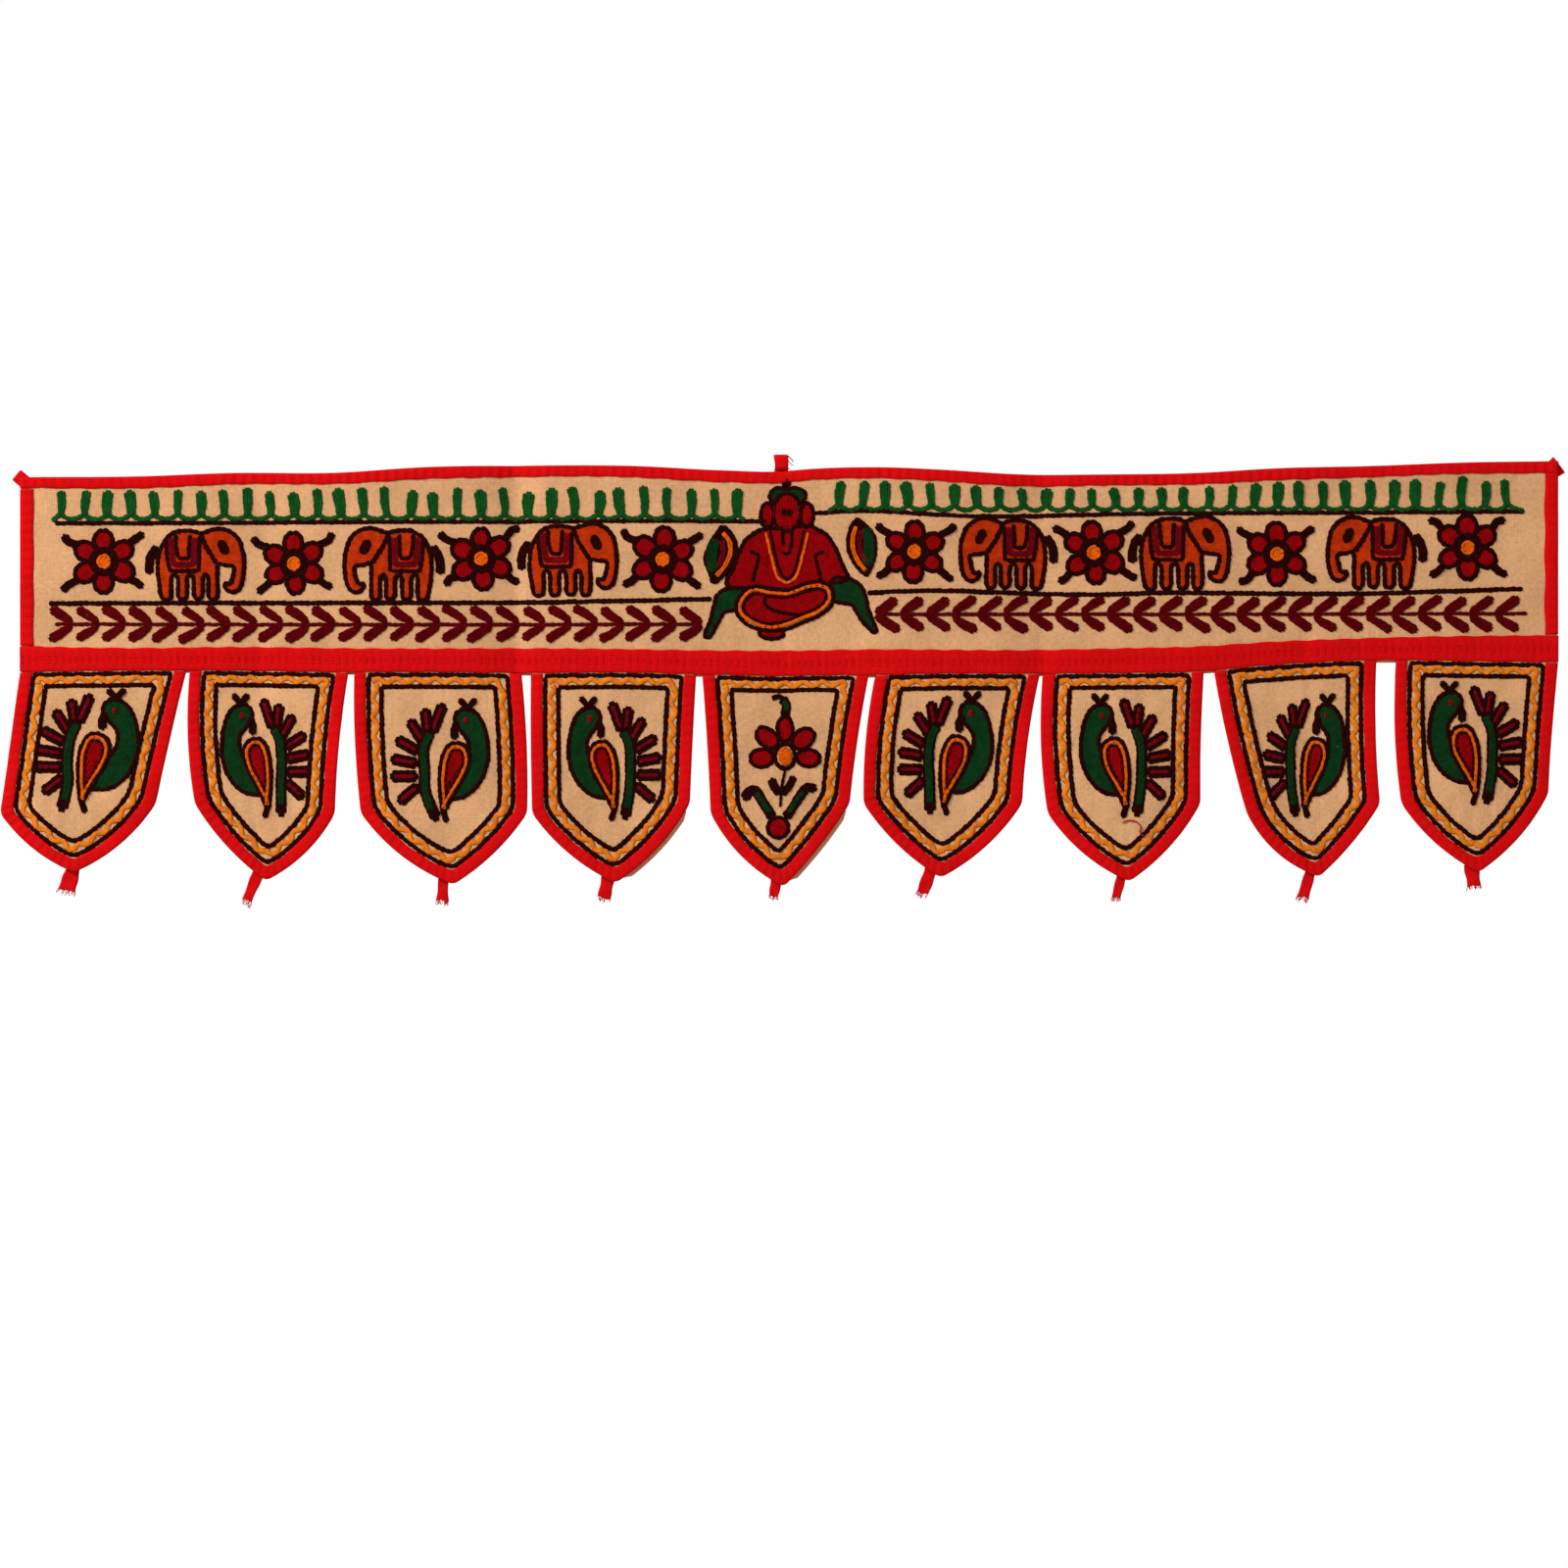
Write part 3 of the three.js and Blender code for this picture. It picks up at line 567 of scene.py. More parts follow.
def finishes():
    """The materials, made once and found again by name."""
    colours = bpy.context.scene.toran_colours
    made = bpy.data.materials
    if "cream_brushed_cotton" not in made:
        # Hand-loomed cotton, its threads drawn at twice their real 0.5 mm so that they show.
        woven_cotton("cream_brushed_cotton", colours.cream,
                     thread=1.1, mottling_and_shade=0.19, nap=1.6, sheen=0.02)
        # Fine red shirting: a closer weave, less nap and a flatter, more even colour.
        woven_cotton("red_cotton_shirting", colours.red,
                     thread=0.9, mottling_and_shade=0.09, nap=0.7, sheen=0.004)
        # Soft peach lining cotton: a plain thin weave, with faint blotches of uneven tone and
        # painted shade.
        woven_cotton("peach_cotton_lining", colours.peach,
                     thread=1.0, mottling_and_shade=0.1, nap=1.0, sheen=0.02)
        # Red sewing thread: twisted like the yarn, but dyed more evenly.
        wool_yarn("red_sewing_thread", colours.thread, variation=0.12)
        # Two-ply crewel wool: matt and soft, with the twist of its plies to be seen.
        for yarn in YARNS:
            wool_yarn(f"{yarn}_wool_yarn", getattr(colours, yarn))
    return made


def yarn_materials():
    """The yarns' materials, in the order of the list of yarns."""
    made = finishes()
    return [made[f"{yarn}_wool_yarn"] for yarn in YARNS]


# Strips

def binding_section(width):
    """A binding folded over a cloth edge: distance in from the fold, then depth. The outer
    path runs round the fold and the inner path comes back inside it."""
    outer, inner = STRIP_HALF, STRIP_HALF - STRIP_LAYER
    path = np.array([(width, -outer * 0.66), (width - 0.7, -outer * 0.95), (width * 0.66, -outer),
                     (width * 0.36, -outer * 1.03), (width * 0.14, -outer), (0.35, -outer * 0.72)])
    inside = np.array([(width, -inner * 0.72), (width - 0.7, -inner * 0.86),
                       (width * 0.66, -inner), (width * 0.36, -inner),
                       (width * 0.18, -inner * 0.9), (0.9, -inner * 0.5)])
    to_back = (1, -1)
    return np.vstack([path, (0, 0), path[::-1] * to_back,
                      inside * to_back, (STRIP_LAYER, 0), inside[::-1]])


def puckered(section, swell):
    """Depth of a section's points, its two outer faces moved out by a swell."""
    outside = np.abs(section[:, 1]) > STRIP_HALF * 0.6
    return section[:, 1] + np.sign(section[:, 1]) * outside * swell


def make_binding(node, outer, inner, width, along, seed):
    """A binding between two lines on the cloth's middle, folded round the outer one. The seam
    draws small puckers up across it, a sine with a seeded drift, strongest half way in."""
    height, pitch, knots = 0.38, 6.2, 40
    section = binding_section(width)
    run = along - along[0]
    drift = np.random.default_rng(seed).uniform(-1, 1, knots).cumsum() * 0.5
    phase = 2 * math.pi * run / pitch + np.interp(run, np.linspace(0, run[-1], knots), drift)
    share = section[:, 0] / width
    rings = outer[:, None] + (inner - outer)[:, None] * share[None, :, None]
    swell = np.sin(phase)[:, None] * height * np.sin(math.pi * np.clip(share, 0, 1))[None] ** 0.5
    rings[..., 1] += puckered(section, swell)
    shells = Shells()
    shells.add_strip(rings, along)
    return shells.as_cloth(node)


def long_path(spacing, left=LEFT, right=RIGHT):
    """X at even steps from one end to the other, about the spacing apart."""
    return np.linspace(left, right, int((right - left) / spacing) + 1)


def hand_sewn(x, pitch, drift, phase=0):
    """How a long edge strays from its line: a sine whose phase sways by another."""
    return 0.25 * np.sin(x / pitch + phase + np.sin(x / drift))


def on_panel(x, z, stray=0):
    """Points on the panel's middle at X and Z, moved up by how far the edge strays."""
    return np.stack([x, panel_depth(x, z), z + stray], -1)


def make_top_binding():
    """The top binding: its outer line is the top edge, and its inner line lies a binding's
    width lower, moved by two sines along X where the sewing strays."""
    x = long_path(STRIP_SPACING)
    top = edge_at(x, "top")
    stray = hand_sewn(x, 3.1, 17) + 0.3 * np.sin(x / 29)
    inner = on_panel(x, top - TOP_BINDING, stray)
    return make_binding("top_binding", on_panel(x, top), inner, TOP_BINDING, x,
                        SEEDS["top_binding"])


def make_side_binding(name, outer_x, inner_x):
    """A side binding: upright lines at its outer and inner X, from the band to the top
    binding, the inner one moved in X by a sine along Z."""
    count = 66
    rise = np.linspace(0, 1, count)

    def on_edge(x):
        foot = edge_at(x, "band_top") + CLEAR
        head = edge_at(x, "top") - TOP_BINDING - CLEAR
        z = foot + (head - foot) * rise
        return on_panel(np.full_like(z, x), z)

    outer, inner = on_edge(outer_x), on_edge(inner_x)
    inner[:, 0] += np.sign(inner_x - outer_x) * 0.3 * np.sin(inner[:, 2] / 5)
    return make_binding(name, outer, inner, SIDE_BINDING, outer[:, 2], SEEDS[name])


def band_section(height):
    """The band: a front and a back layer joined along the middle, open above for the panel
    and below for the flags. Share of the height from the top, then depth."""
    outer, inner, slot = STRIP_HALF, STRIP_HALF - STRIP_LAYER, (TUCK + CLEAR) / height
    front = [(slot, -inner), (0.002, -inner * 0.8), (0, -outer * 0.68), (0.05, -outer * 0.95),
             (0.18, -outer), (0.34, -outer * 0.99), (0.47, -outer * 0.94), (0.53, -outer * 0.94),
             (0.66, -outer * 0.99), (0.82, -outer), (0.95, -outer * 0.95), (1, -outer * 0.68),
             (0.998, -inner * 0.8), (1 - slot, -inner)]
    return np.vstack([front, np.array(front[::-1]) * (1, -1)])


def make_band():
    """The band: its section carried along X, with Z straight between the two edges by the
    share. Its depth is the folds, plus wrinkles that fade out downwards as 1 - share, plus
    puckers: a sine along X times the size of a sine that swells twice down the height."""
    height, pitch = 0.3, 5.6
    x = long_path(STRIP_SPACING)
    head = edge_at(x, "band_top") + hand_sewn(x, 2.9, 19) + 0.25 * np.sin(x / 31)
    foot = edge_at(x, "band_foot") + hand_sewn(x, 3.3, 21, 1)
    section = band_section(BAND_HEIGHT)
    share = section[:, 0]
    z = head[:, None] + (foot - head)[:, None] * share
    phase = 2 * math.pi * x / pitch + 1.5 * np.sin(x / 27)
    swell = height * np.sin(phase)[:, None] * np.abs(np.sin(2 * math.pi * share))[None]
    rumple = wrinkles(x, head)[:, None] * (1 - share)
    depth = fold_depth(x, 0 * x)[:, None] + rumple + puckered(section, swell)
    shells = Shells()
    shells.add_strip(np.stack([np.broadcast_to(x[:, None], z.shape), depth, z], -1), x)
    piece = shells.as_cloth("band")


# Main panel and flags

def make_main_panel():
    """The main panel: a grid whose columns run straight in Z from just under the top edge
    to inside the band, at the depth of the panel's middle."""
    x = long_path(PANEL_SPACING, LEFT + CLOTH_EDGE, RIGHT - CLOTH_EDGE)
    rows = 50
    share = np.linspace(0, 1, rows)[:, None]
    head, foot = edge_at(x, "top") - CLOTH_EDGE, edge_at(x, "band_top") - TUCK
    z = head + (foot - head) * share
    shells = Shells()
    shells.add_grid(on_panel(np.broadcast_to(x, z.shape), z), CLOTH)
    return shells.as_cloth("main_panel", "cream_cotton")


def bezier(a, b, swell, steps):
    """A quadratic curve that swells to the right of its direction by the given amount."""
    a, b = np.array(a, float), np.array(b, float)
    side = np.array([b[1] - a[1], a[0] - b[0]])
    control = (a + b) / 2 + 2 * swell * side / np.hypot(*side)
    t = np.linspace(0, 1, steps + 1)[:, None]
    return a * (1 - t) ** 2 + 2 * control * t * (1 - t) + b * t**2


def flag_edge(flag, steps):
    """A flag's edge from its upper left corner round the tip to its upper right one, with
    the way in at each point. The curves are read at the given steps to a station, and the
    way runs straight from one station's way to the next."""
    corners = [(x, float(edge_at(x, "band_foot")) - CLEAR) for x in flag["top"]]
    legs = [(corners[0], flag["left"], flag["bow"][0], SIDE_STEPS),
            (flag["left"], flag["tip"], flag["cheek"][0], CHEEK_STEPS),
            (flag["tip"], flag["right"], flag["cheek"][1], CHEEK_STEPS),
            (flag["right"], corners[1], flag["bow"][1], SIDE_STEPS)]

    def joined(per_station):
        runs = [bezier(a, b, swell, count * per_station) for a, b, swell, count in legs]
        return np.vstack([run[:-1] for run in runs[:-1]] + [runs[-1]])

    stations = joined(1)
    way = np.diff(stations, axis=0)
    normal = np.stack([-way[:, 1], way[:, 0]], -1) / np.hypot(*way.T)[:, None]
    mitre = normal[:-1] + normal[1:]
    mitre /= np.hypot(*mitre.T)[:, None]
    mitre /= (mitre * normal[:-1]).sum(1)[:, None]
    ways = np.vstack([(1, 0), mitre, (-1, 0)])
    place = np.arange(len(stations))
    fine = np.linspace(0, len(stations) - 1, (len(stations) - 1) * steps + 1)
    way_in = np.stack([np.interp(fine, place, ways[:, k]) for k in (0, 1)], -1)
    edge = joined(steps)
    # A soft hand-turned corner: each point is the mean of its neighbours.
    reach = 2
    weights = np.ones(2 * reach + 1) / (2 * reach + 1)
    for k in (0, 1):
        edge[reach:-reach, k] = np.convolve(edge[:, k], weights, "valid")
        way_in[reach:-reach, k] = np.convolve(way_in[:, k], weights, "valid")
    return edge, way_in


def on_flag(flag, xz):
    """Points on a flag's middle at X and Z."""
    return in_space(xz, flag_depth(flag, xz[..., 0], xz[..., 1]))


def inset_line(edge, way, distance):
    """The line at a distance in from the edge, with its two ends on the band's foot."""
    line = edge + way * distance
    for end in (0, -1):
        line[end, 1] = edge_at(line[end, 0], "band_foot") - CLEAR
    return line


def flag_rows(left, right, cells):
    """Rows from a flag's left line to its right one, from the band down to the tip."""
    share = np.linspace(0, 1, cells + 1)[None, :, None]
    return left[:, None] + (right - left)[:, None] * share


def make_flag_cloth(flag, name):
    """A flag's cloth: a grid of rows that run straight from its left line to its right one,
    with one more row on top that is tucked into the band and takes the band's depth."""
    steps, cells = 8, 40
    edge, way = flag_edge(flag, steps)
    line = inset_line(edge, way, CLOTH_EDGE)
    last = TIP_STATION * steps - 1
    rows = flag_rows(line[:last + 1], line[::-1][:last + 1], cells)
    tucked = rows[:1] + (0, TUCK)
    middle = on_flag(flag, np.vstack([tucked, rows]))
    middle[0, :, 1] = fold_depth(tucked[0, :, 0], np.zeros(cells + 1))
    shells = Shells()
    shells.add_grid(middle, CLOTH)
    return shells.as_cloth(name, "cream_cotton")


def make_flag_binding(flag, name, seed):
    """A flag's binding: its outer line is the flag's edge, and its inner line lies the
    width of the binding in from it, moved by two sines along the edge."""
    steps = 14
    edge, way = flag_edge(flag, steps)
    along = distance_along(edge)
    stray = 0.22 * np.sin(along / 3.4 + seed) + 0.25 * np.sin(along / 19 + seed)
    inner = inset_line(edge, way, FLAG_BINDING) + way * stray[:, None]
    return make_binding(name, on_flag(flag, edge), on_flag(flag, inner), FLAG_BINDING, along, seed)


def threads(starts, ends, thickness, seed, bend=1.2):
    """Loose threads: thin square tubes between two sets of points, bowed by a half sine."""
    random = np.random.default_rng(seed)
    t = np.linspace(0, 1, 5)[:, None]
    corner = np.array([(-1, -1), (1, -1), (1, 1), (-1, 1)]) * thickness / 2
    made = []
    for start, end in zip(np.asarray(starts, float), np.asarray(ends, float)):
        bow = random.uniform(-bend, bend, 3) * (1, 0.4, 0.4)
        path = start + (end - start) * t + bow * np.sin(math.pi * t)
        ring = path[:, None].repeat(4, 1)
        ring[..., 0] += corner[:, 0]
        ring[..., 1] += corner[:, 1]
        made.append(ring)
    return made


def make_tail(flag, name, seed):
    """A tail: a strip behind the flag's tip that curls back by the square of its share, its
    sides a little uneven and its end a fringe of pulled threads."""
    rows, columns, strands = 14, 7, 16
    random = np.random.default_rng(seed)
    root, end, widths = (np.array(value) for value in flag["tail"])
    down = (end - root) / np.hypot(*(end - root))
    across = np.array([-down[1], down[0]])
    at_root = flag_depth(flag, *root)
    front = max(at_root, flag_depth(flag, *np.array(flag["tip"]))) + STRIP_HALF + CLEAR
    share = np.linspace(0, 1, rows)
    half = np.interp(share, (0, 1), widths) / 2
    sides = np.linspace(-1, 1, columns)
    ragged = 1 + 0.06 * np.sin(share * 9 + seed)
    place = share[:, None] * TAIL["whole"] + 0.03 * np.sin(sides * 3 + seed)[None] * share[:, None]
    xz = (root + (end - root) * place[..., None]
          + across * (sides[None] * (half * ragged)[:, None])[..., None])
    roll = 0.35 * np.cos(sides * 2.4 + share[:, None] * 5 + seed)
    depth = front + TAIL["room"] / 2 + TAIL["curl"] * place**2 + roll * share[:, None]
    middle = in_space(xz, depth)
    shells = Shells()
    shells.add_grid(middle, TAIL["thickness"])
    spread = random.uniform(-1, 1, strands)
    start = np.stack([np.interp(spread, sides, middle[-1, :, k]) for k in range(3)], -1)
    reach = random.uniform(0.5, 1.15, strands) * (1 - TAIL["whole"]) * np.hypot(*(end - root))
    lean = down + across * random.uniform(-0.35, 0.35, strands)[:, None]
    stop = start + in_space(lean, 0) * reach[:, None]
    shells.add_threads(threads(start, stop, 0.45, seed, 0.7), 4)
    return shells.as_cloth(name)


def make_lining():
    """One peach sheet behind the band and the flags: a row of cells across the whole width
    down to the notches between the flags, then a grid behind each flag."""
    steps, cells = 4, 26
    offset = STRIP_HALF + LINING["clear"] + LINING["thickness"] / 2
    last = TIP_STATION * steps - 1
    grids = []
    for number, flag in enumerate(FLAGS):
        edge, way = flag_edge(flag, steps)
        inset = np.full(len(edge), LINING["inset"])
        if number in LINING_PAST:
            right_cheek = slice(TIP_STATION * steps + 1, (TIP_STATION + CHEEK_STEPS) * steps)
            inset[right_cheek] = -LINING_PAST[number]
            inset = np.convolve(np.pad(inset, 1, "edge"), (0.25, 0.5, 0.25), "valid")
        inset[[0, -1]] = 0
        line = edge + way * inset[:, None]
        rows = flag_rows(line[:last + 1], line[::-1][:last + 1], cells)
        share = (np.arange(last + 1) / steps - SIDE_STEPS) / (CHEEK_STEPS - 1)
        points = on_flag(flag, rows)
        ripple = 0.35 * np.sin(rows[..., 0] / 7 + rows[..., 1] / 11 + number)
        points[..., 1] += offset + LINING["puff"] * np.clip(share, 0, 1)[:, None] + np.abs(ripple)
        grids.append(points)
    ends = LEFT + LINING["inset"], RIGHT - LINING["inset"]
    foot = np.concatenate([grid[0] for grid in grids])
    foot[:, 0] = np.clip(foot[:, 0], *ends)
    head = foot.copy()
    head[:, 2] = edge_at(head[:, 0], "band_top") - LINING["head"]
    below = np.concatenate([grid[1] for grid in grids])
    cut = foot + (below - foot) * (LINING["notch"] / (foot[:, 2] - below[:, 2]))[:, None]
    share = np.linspace(0, 1, 7)[:, None, None]
    top = np.concatenate([head + (foot - head) * share, cut[None]])
    index = index_grid(top)
    points, faces, count = [top.reshape(-1, 3)], [grid_faces(index)], index.size
    for start, grid in zip(np.split(index[-1], len(grids)), grids):
        rest = index_grid(grid[2:], count)
        faces.append(grid_faces(np.vstack([start, rest])))
        points.append(grid[2:].reshape(-1, 3))
        count += rest.size
    shells = Shells()
    shells.add_sheet(np.vstack(points), np.vstack(faces), LINING["thickness"])
    return shells.as_cloth("lining", "peach_cotton")


# Loops

def folded_strip(path, half_width, axis, thickness):
    """A flat strip bent along a path: at each point a rounded section, its width along the
    given axis and its thickness across the path."""
    way = np.gradient(path, axis=0)
    way /= np.linalg.norm(way, axis=1)[:, None]
    flat = np.cross(way, axis)
    flat /= np.linalg.norm(flat, axis=1)[:, None]
    u = np.array([-1, -0.6, 0, 0.6, 1, 1, 0.6, 0, -0.6, -1])
    v = np.array([-0.6, -1, -1, -1, -0.6, 0.6, 1, 1, 1, 0.6]) * thickness / 2
    return (path[:, None] + axis * (u * half_width[:, None])[..., None]
            + flat[:, None] * v[None, :, None])


def make_middle_loop():
    """The middle loop: a strip that rises behind the top binding, turns forward and down
    round the eye, comes back under it and goes down again behind the binding."""
    width, layer = LOOP["width"], LOOP["layer"]
    deepest = max(fold_depth(np.array([-0.5, 0, 0.5]) * width, np.ones(3)))
    front = deepest + STRIP_HALF + CLEAR
    back = front + 2 * layer
    near = back - LOOP["eye"] - 1.5 * layer
    low, high = LOOP["lift"] + layer / 2, LOOP["rise"] - layer / 2
    rear, fore = back - layer / 2, front + layer / 2
    yz = through([
        (rear, -LOOP["tail"]), (rear, -3), (rear, 2), (rear, high - 2.6), (rear - 0.8, high - 0.8),
        (rear - 2.6, high), (near + 2.4, high), (near + 0.7, high - 0.8), (near, high - 2.6),
        (near, low + 2.4), (near + 0.7, low + 0.7), (near + 2.4, low), (fore - 1.4, low + 0.1),
        (fore - 0.1, low - 0.9), (fore, low - 2.4), (fore, -3), (fore, -LOOP["tail"])])
    steps = 90
    yz, along = even_steps(yz, steps)
    path = np.stack([np.full(len(yz), LOOP["x"]), yz[:, 0], yz[:, 1]], -1)
    half = width / 2 * (1 + 0.05 * np.sin(along / 3)) - 0.15
    axis = np.array([1.0, 0, 0])
    rings = folded_strip(path, half, axis, layer * 0.92)
    rings[..., 0] += 0.35 * np.sin(path[:, 2] / 2.6)[:, None]
    shells = Shells()
    shells.add_strip(rings, along)
    rows = np.linspace(18, 44, 9).astype(int)
    starts = path[rows] + axis * half[rows, None]
    ends = starts + np.array([(2.6, -0.4, -1.5), (3.4, 0.2, -3), (2.2, 0, 0.8), (3.8, -0.6, -2),
                              (3, 0.3, -4), (2, 0, -1), (3.6, -0.3, -3.4), (2.8, 0, -2.6),
                              (3.2, 0.2, -4.4)])
    shells.add_threads(threads(starts, ends, 0.4, SEEDS["middle_loop"]), 4)
    return shells.as_cloth("middle_loop")


def make_corner_tab(tab, seed):
    """A corner tab: a strip from behind the corner to its outer end, where it turns through
    a half circle, and back behind itself."""
    steps, strands = 9, 6
    root, end = np.array(tab["root"]), np.array(tab["end"])
    reach = end - root
    length = np.hypot(*reach)
    way = reach / length
    deepest = max(fold_depth(np.array([root[0], end[0], root[0]]), np.array([1, 1, 0.7])))
    front = deepest + STRIP_HALF + CLEAR + TAB_LAYER / 2
    back = front + TAB_LAYER + CLEAR
    turn = np.linspace(-math.pi / 2, math.pi / 2, 7)
    radius = (back - front) / 2
    out = length - radius - TAB_LAYER / 2
    run = np.linspace(0, out, steps + 1)[:-1]
    u = np.concatenate([run, out + radius * np.cos(turn), run[::-1]])
    v = np.concatenate([np.full(steps, front), (front + back) / 2 + radius * np.sin(turn),
                        np.full(steps, back)])
    path = np.stack([root[0] + way[0] * u, v, root[1] + way[1] * u], -1)
    half = np.interp(u, (0, length), tab["width"]) / 2
    axis = np.array([-way[1], 0, way[0]])
    rings = folded_strip(path, half, axis, TAB_LAYER * 0.92)
    shells = Shells()
    shells.add_strip(rings, distance_along(path))
    random = np.random.default_rng(seed)
    aside = half[steps - 1] * random.uniform(-1, 1, strands)
    starts = path[[8, 9, 17, 18, 20, 22]] + axis * aside[:, None]
    ends = starts + np.stack([random.uniform(-2, 2, strands) + way[0] * 1.5,
                              random.uniform(0, 0.4, strands),
                              random.uniform(-3.2, 0.5, strands)], -1)
    shells.add_threads(threads(starts, ends, 0.4, seed, 0.6), 3)
    return shells.as_cloth(tab["name"])


# Embroidery strokes

# A stroke is a yarn, a path, the width of its stitches and the height that they stand.

# Greatest distance between the rows of a fat stroke, the share by which its stitches are
# wider than that, and the number of steps along it.
FAT_ROW, FAT_OVERLAP, FAT_STEPS = 2.1, 1.42, 24

# Distance between the rows that fill a shape, and the width of their stitches.
FILL_ROW, FILL_WIDTH = 1.9, 2.9

# Points along one chain stitch, how far it is open at each and how high it stands there,
# and how much narrower a row is at its two ends.
CHAIN_POINTS = 3
CHAIN_OPEN, CHAIN_RISE, CHAIN_END = (0.8, 1.0, 0.96), (0.72, 1.0, 0.92), 0.75

# Points along one flat stitch and the gap after it, and how many of them the stitch takes.
FLAT_POINTS, FLAT_FILLED = 5, 3


def line(yarn, points, width=3.2, height=1.05):
    """One row of chain stitches along a curve through the points."""
    return [(yarn, through(points), width, height)]


def fat(yarn, points, width, height=0.95, root=1.0):
    """Rows of chain stitches side by side along a curve, the outer rows shorter so that the
    ends are round. At the start the rows stand closer, by the share root."""
    count = max(1, math.ceil(width / FAT_ROW))
    row = width / (count + 0.35)
    path, _ = even_steps(through(points), FAT_STEPS)
    side = sideways(path)
    length = path_length(path)
    spread = np.minimum(1, root + (1 - root) * np.linspace(0, 2, len(path)))[:, None]
    strokes = []
    for k in range(count):
        offset = (k - (count - 1) / 2) * row
        out = min(width / 2, abs(offset) + 0.4 * row)
        cut = min(0.42 * length, 0.7 * (width / 2 - math.sqrt((width / 2) ** 2 - out**2)))
        first = int(round(FAT_STEPS * cut / length))
        moved = (path + side * offset * spread)[first:len(path) - first]
        if len(moved) > 2:
            strokes.append((yarn, moved, row * FAT_OVERLAP, height))
    return strokes


def filled(yarn, outline, angle=0.0, margin=0.8, height=0.6):
    """A closed shape filled with rows of chain stitches."""
    return [(yarn, row, FILL_WIDTH, height) for row in hatch(outline, angle, FILL_ROW, margin)]


def edged(rim, core, outline, angle=0.0, width=3.2):
    """A filled closed shape with a dark line round it."""
    return filled(core, outline, angle) + [(rim, outline, width, 1.05)]


def cored(rim, core, points, width, core_width):
    """A fat line in one yarn with a raised core of another along it."""
    path, _ = even_steps(through(points), 20)
    return fat(rim, points, width, 0.9) + [(core, path[3:18], core_width, 1.3)]


def oval(centre, half_width, half_height, turn=0.0):
    """An ellipse about a centre, turned by an angle."""
    t = np.linspace(0, 2 * math.pi, 33)
    p = np.stack([half_width * np.cos(t), half_height * np.sin(t)], -1)
    return p @ turning(turn) + centre


def placed(strokes, centre, flip=False, size=1.0, turn=0.0):
    """Strokes turned, scaled by one size or by a size in X and one in Z, mirrored in X if
    flip is set, and moved to a centre."""
    matrix = turning(turn) * size
    if flip:
        matrix = np.array([(-1, 0), (0, 1)]) @ matrix
    return [(yarn, path @ matrix + centre, width, height) for yarn, path, width, height in strokes]


def chain_rings(path, width, height, stitch, random):
    """Chain stitches along a path. Each is a loop whose two strands swell apart from its
    hole and close over the next one, so the section is two humps with a dip between: across
    it is u times the width, and above the cloth h times the height."""
    stitches = max(1, round(path_length(path) / stitch))
    path, along = even_steps(path, CHAIN_POINTS * stitches)
    size = len(path)
    side = sideways(path)
    each = 1 + random.uniform(-0.1, 0.1, stitches + 1).repeat(CHAIN_POINTS)[:size]
    drift = random.uniform(-0.2, 0.2, stitches + 1).repeat(CHAIN_POINTS)[:size]
    opened = np.tile(CHAIN_OPEN, stitches + 1)[:size] * each
    raised = np.tile(CHAIN_RISE, stitches + 1)[:size]
    opened[[0, -1]] *= CHAIN_END
    u = np.array([-0.5, -0.27, 0, 0.27, 0.5, 0]) * width
    h = np.array([0.12, 0.95, 0.6, 0.95, 0.12, -0.2]) * height
    xz = path[:, None] + side[:, None] * (drift[:, None] + opened[:, None] * u)[..., None]
    return xz, h * raised[:, None], grid_uv(along, u)


def embroider(name, strokes, depth, seed):
    """Sews strokes on the front of a cloth whose middle lies at depth(x, z)."""
    sizes = bpy.context.scene.toran_sizes
    random = np.random.default_rng(seed)
    stitch, scale = sizes.stitch / MM, sizes.yarn_height
    shells = Shells()
    for yarn, path, width, height in strokes:
        xz, rise, uv = chain_rings(path, width, height * scale, stitch, random)
        y = depth(xz[..., 0], xz[..., 1]) - CLOTH / 2 - rise
        shells.add(tube(in_space(xz, y)), uv, YARNS.index(yarn))
    return shells.finish(name, yarn_materials())


def flat_stitches(shells, path, pitch, across, depth, material=0):
    """Flat stitches along a path, thin boxes whose section lies across it. A path with room
    for one only is left out. depth takes the ends of a box and the corners there."""
    count = round(path_length(path) / pitch)
    if count < 2:
        return
    points, along = even_steps(path, count * FLAT_POINTS)
    side = sideways(points)
    for start in range(0, count * FLAT_POINTS, FLAT_POINTS):
        ends = slice(start, start + FLAT_FILLED + 1, FLAT_FILLED)
        corners = points[ends, None] + side[ends, None] * across[None, :, None]
        rings = in_space(corners, depth(points[ends], corners))
        shells.add(tube(rings), grid_uv(along[ends], across), material)


# Motifs, in millimetres about their own centres

ELEPHANT_OUTLINE = [
    (-24.4, 0), (-23, 9), (-18.5, 17.5), (-12, 21.8), (-5, 22.5), (1, 21.8), (4, 20.6), (9, 22.4),
    (16, 24), (23, 22), (28.4, 17), (31.2, 9), (32, 0), (31.2, -9), (29, -15.4), (24.8, -17.6),
    (20.6, -15.6), (19.6, -12), (23, -12.2), (25, -7), (25.6, -1), (20, 0.2), (15, 0.4),
    (14.8, -10), (14.6, -20), (12, -22.4), (9.2, -20), (9, -9), (7.2, -6), (5.2, -8.4),
    (5, -19.6), (2.2, -22), (-0.5, -19.6), (-0.7, -9), (-2.9, -6.2), (-5.2, -8.6), (-5.4, -20),
    (-8.2, -22.4), (-11, -20), (-11.1, -9), (-13.2, -6), (-15.4, -8.4), (-15.6, -20.4),
    (-18.6, -22.6), (-21.8, -20.4), (-23.8, -9),
]


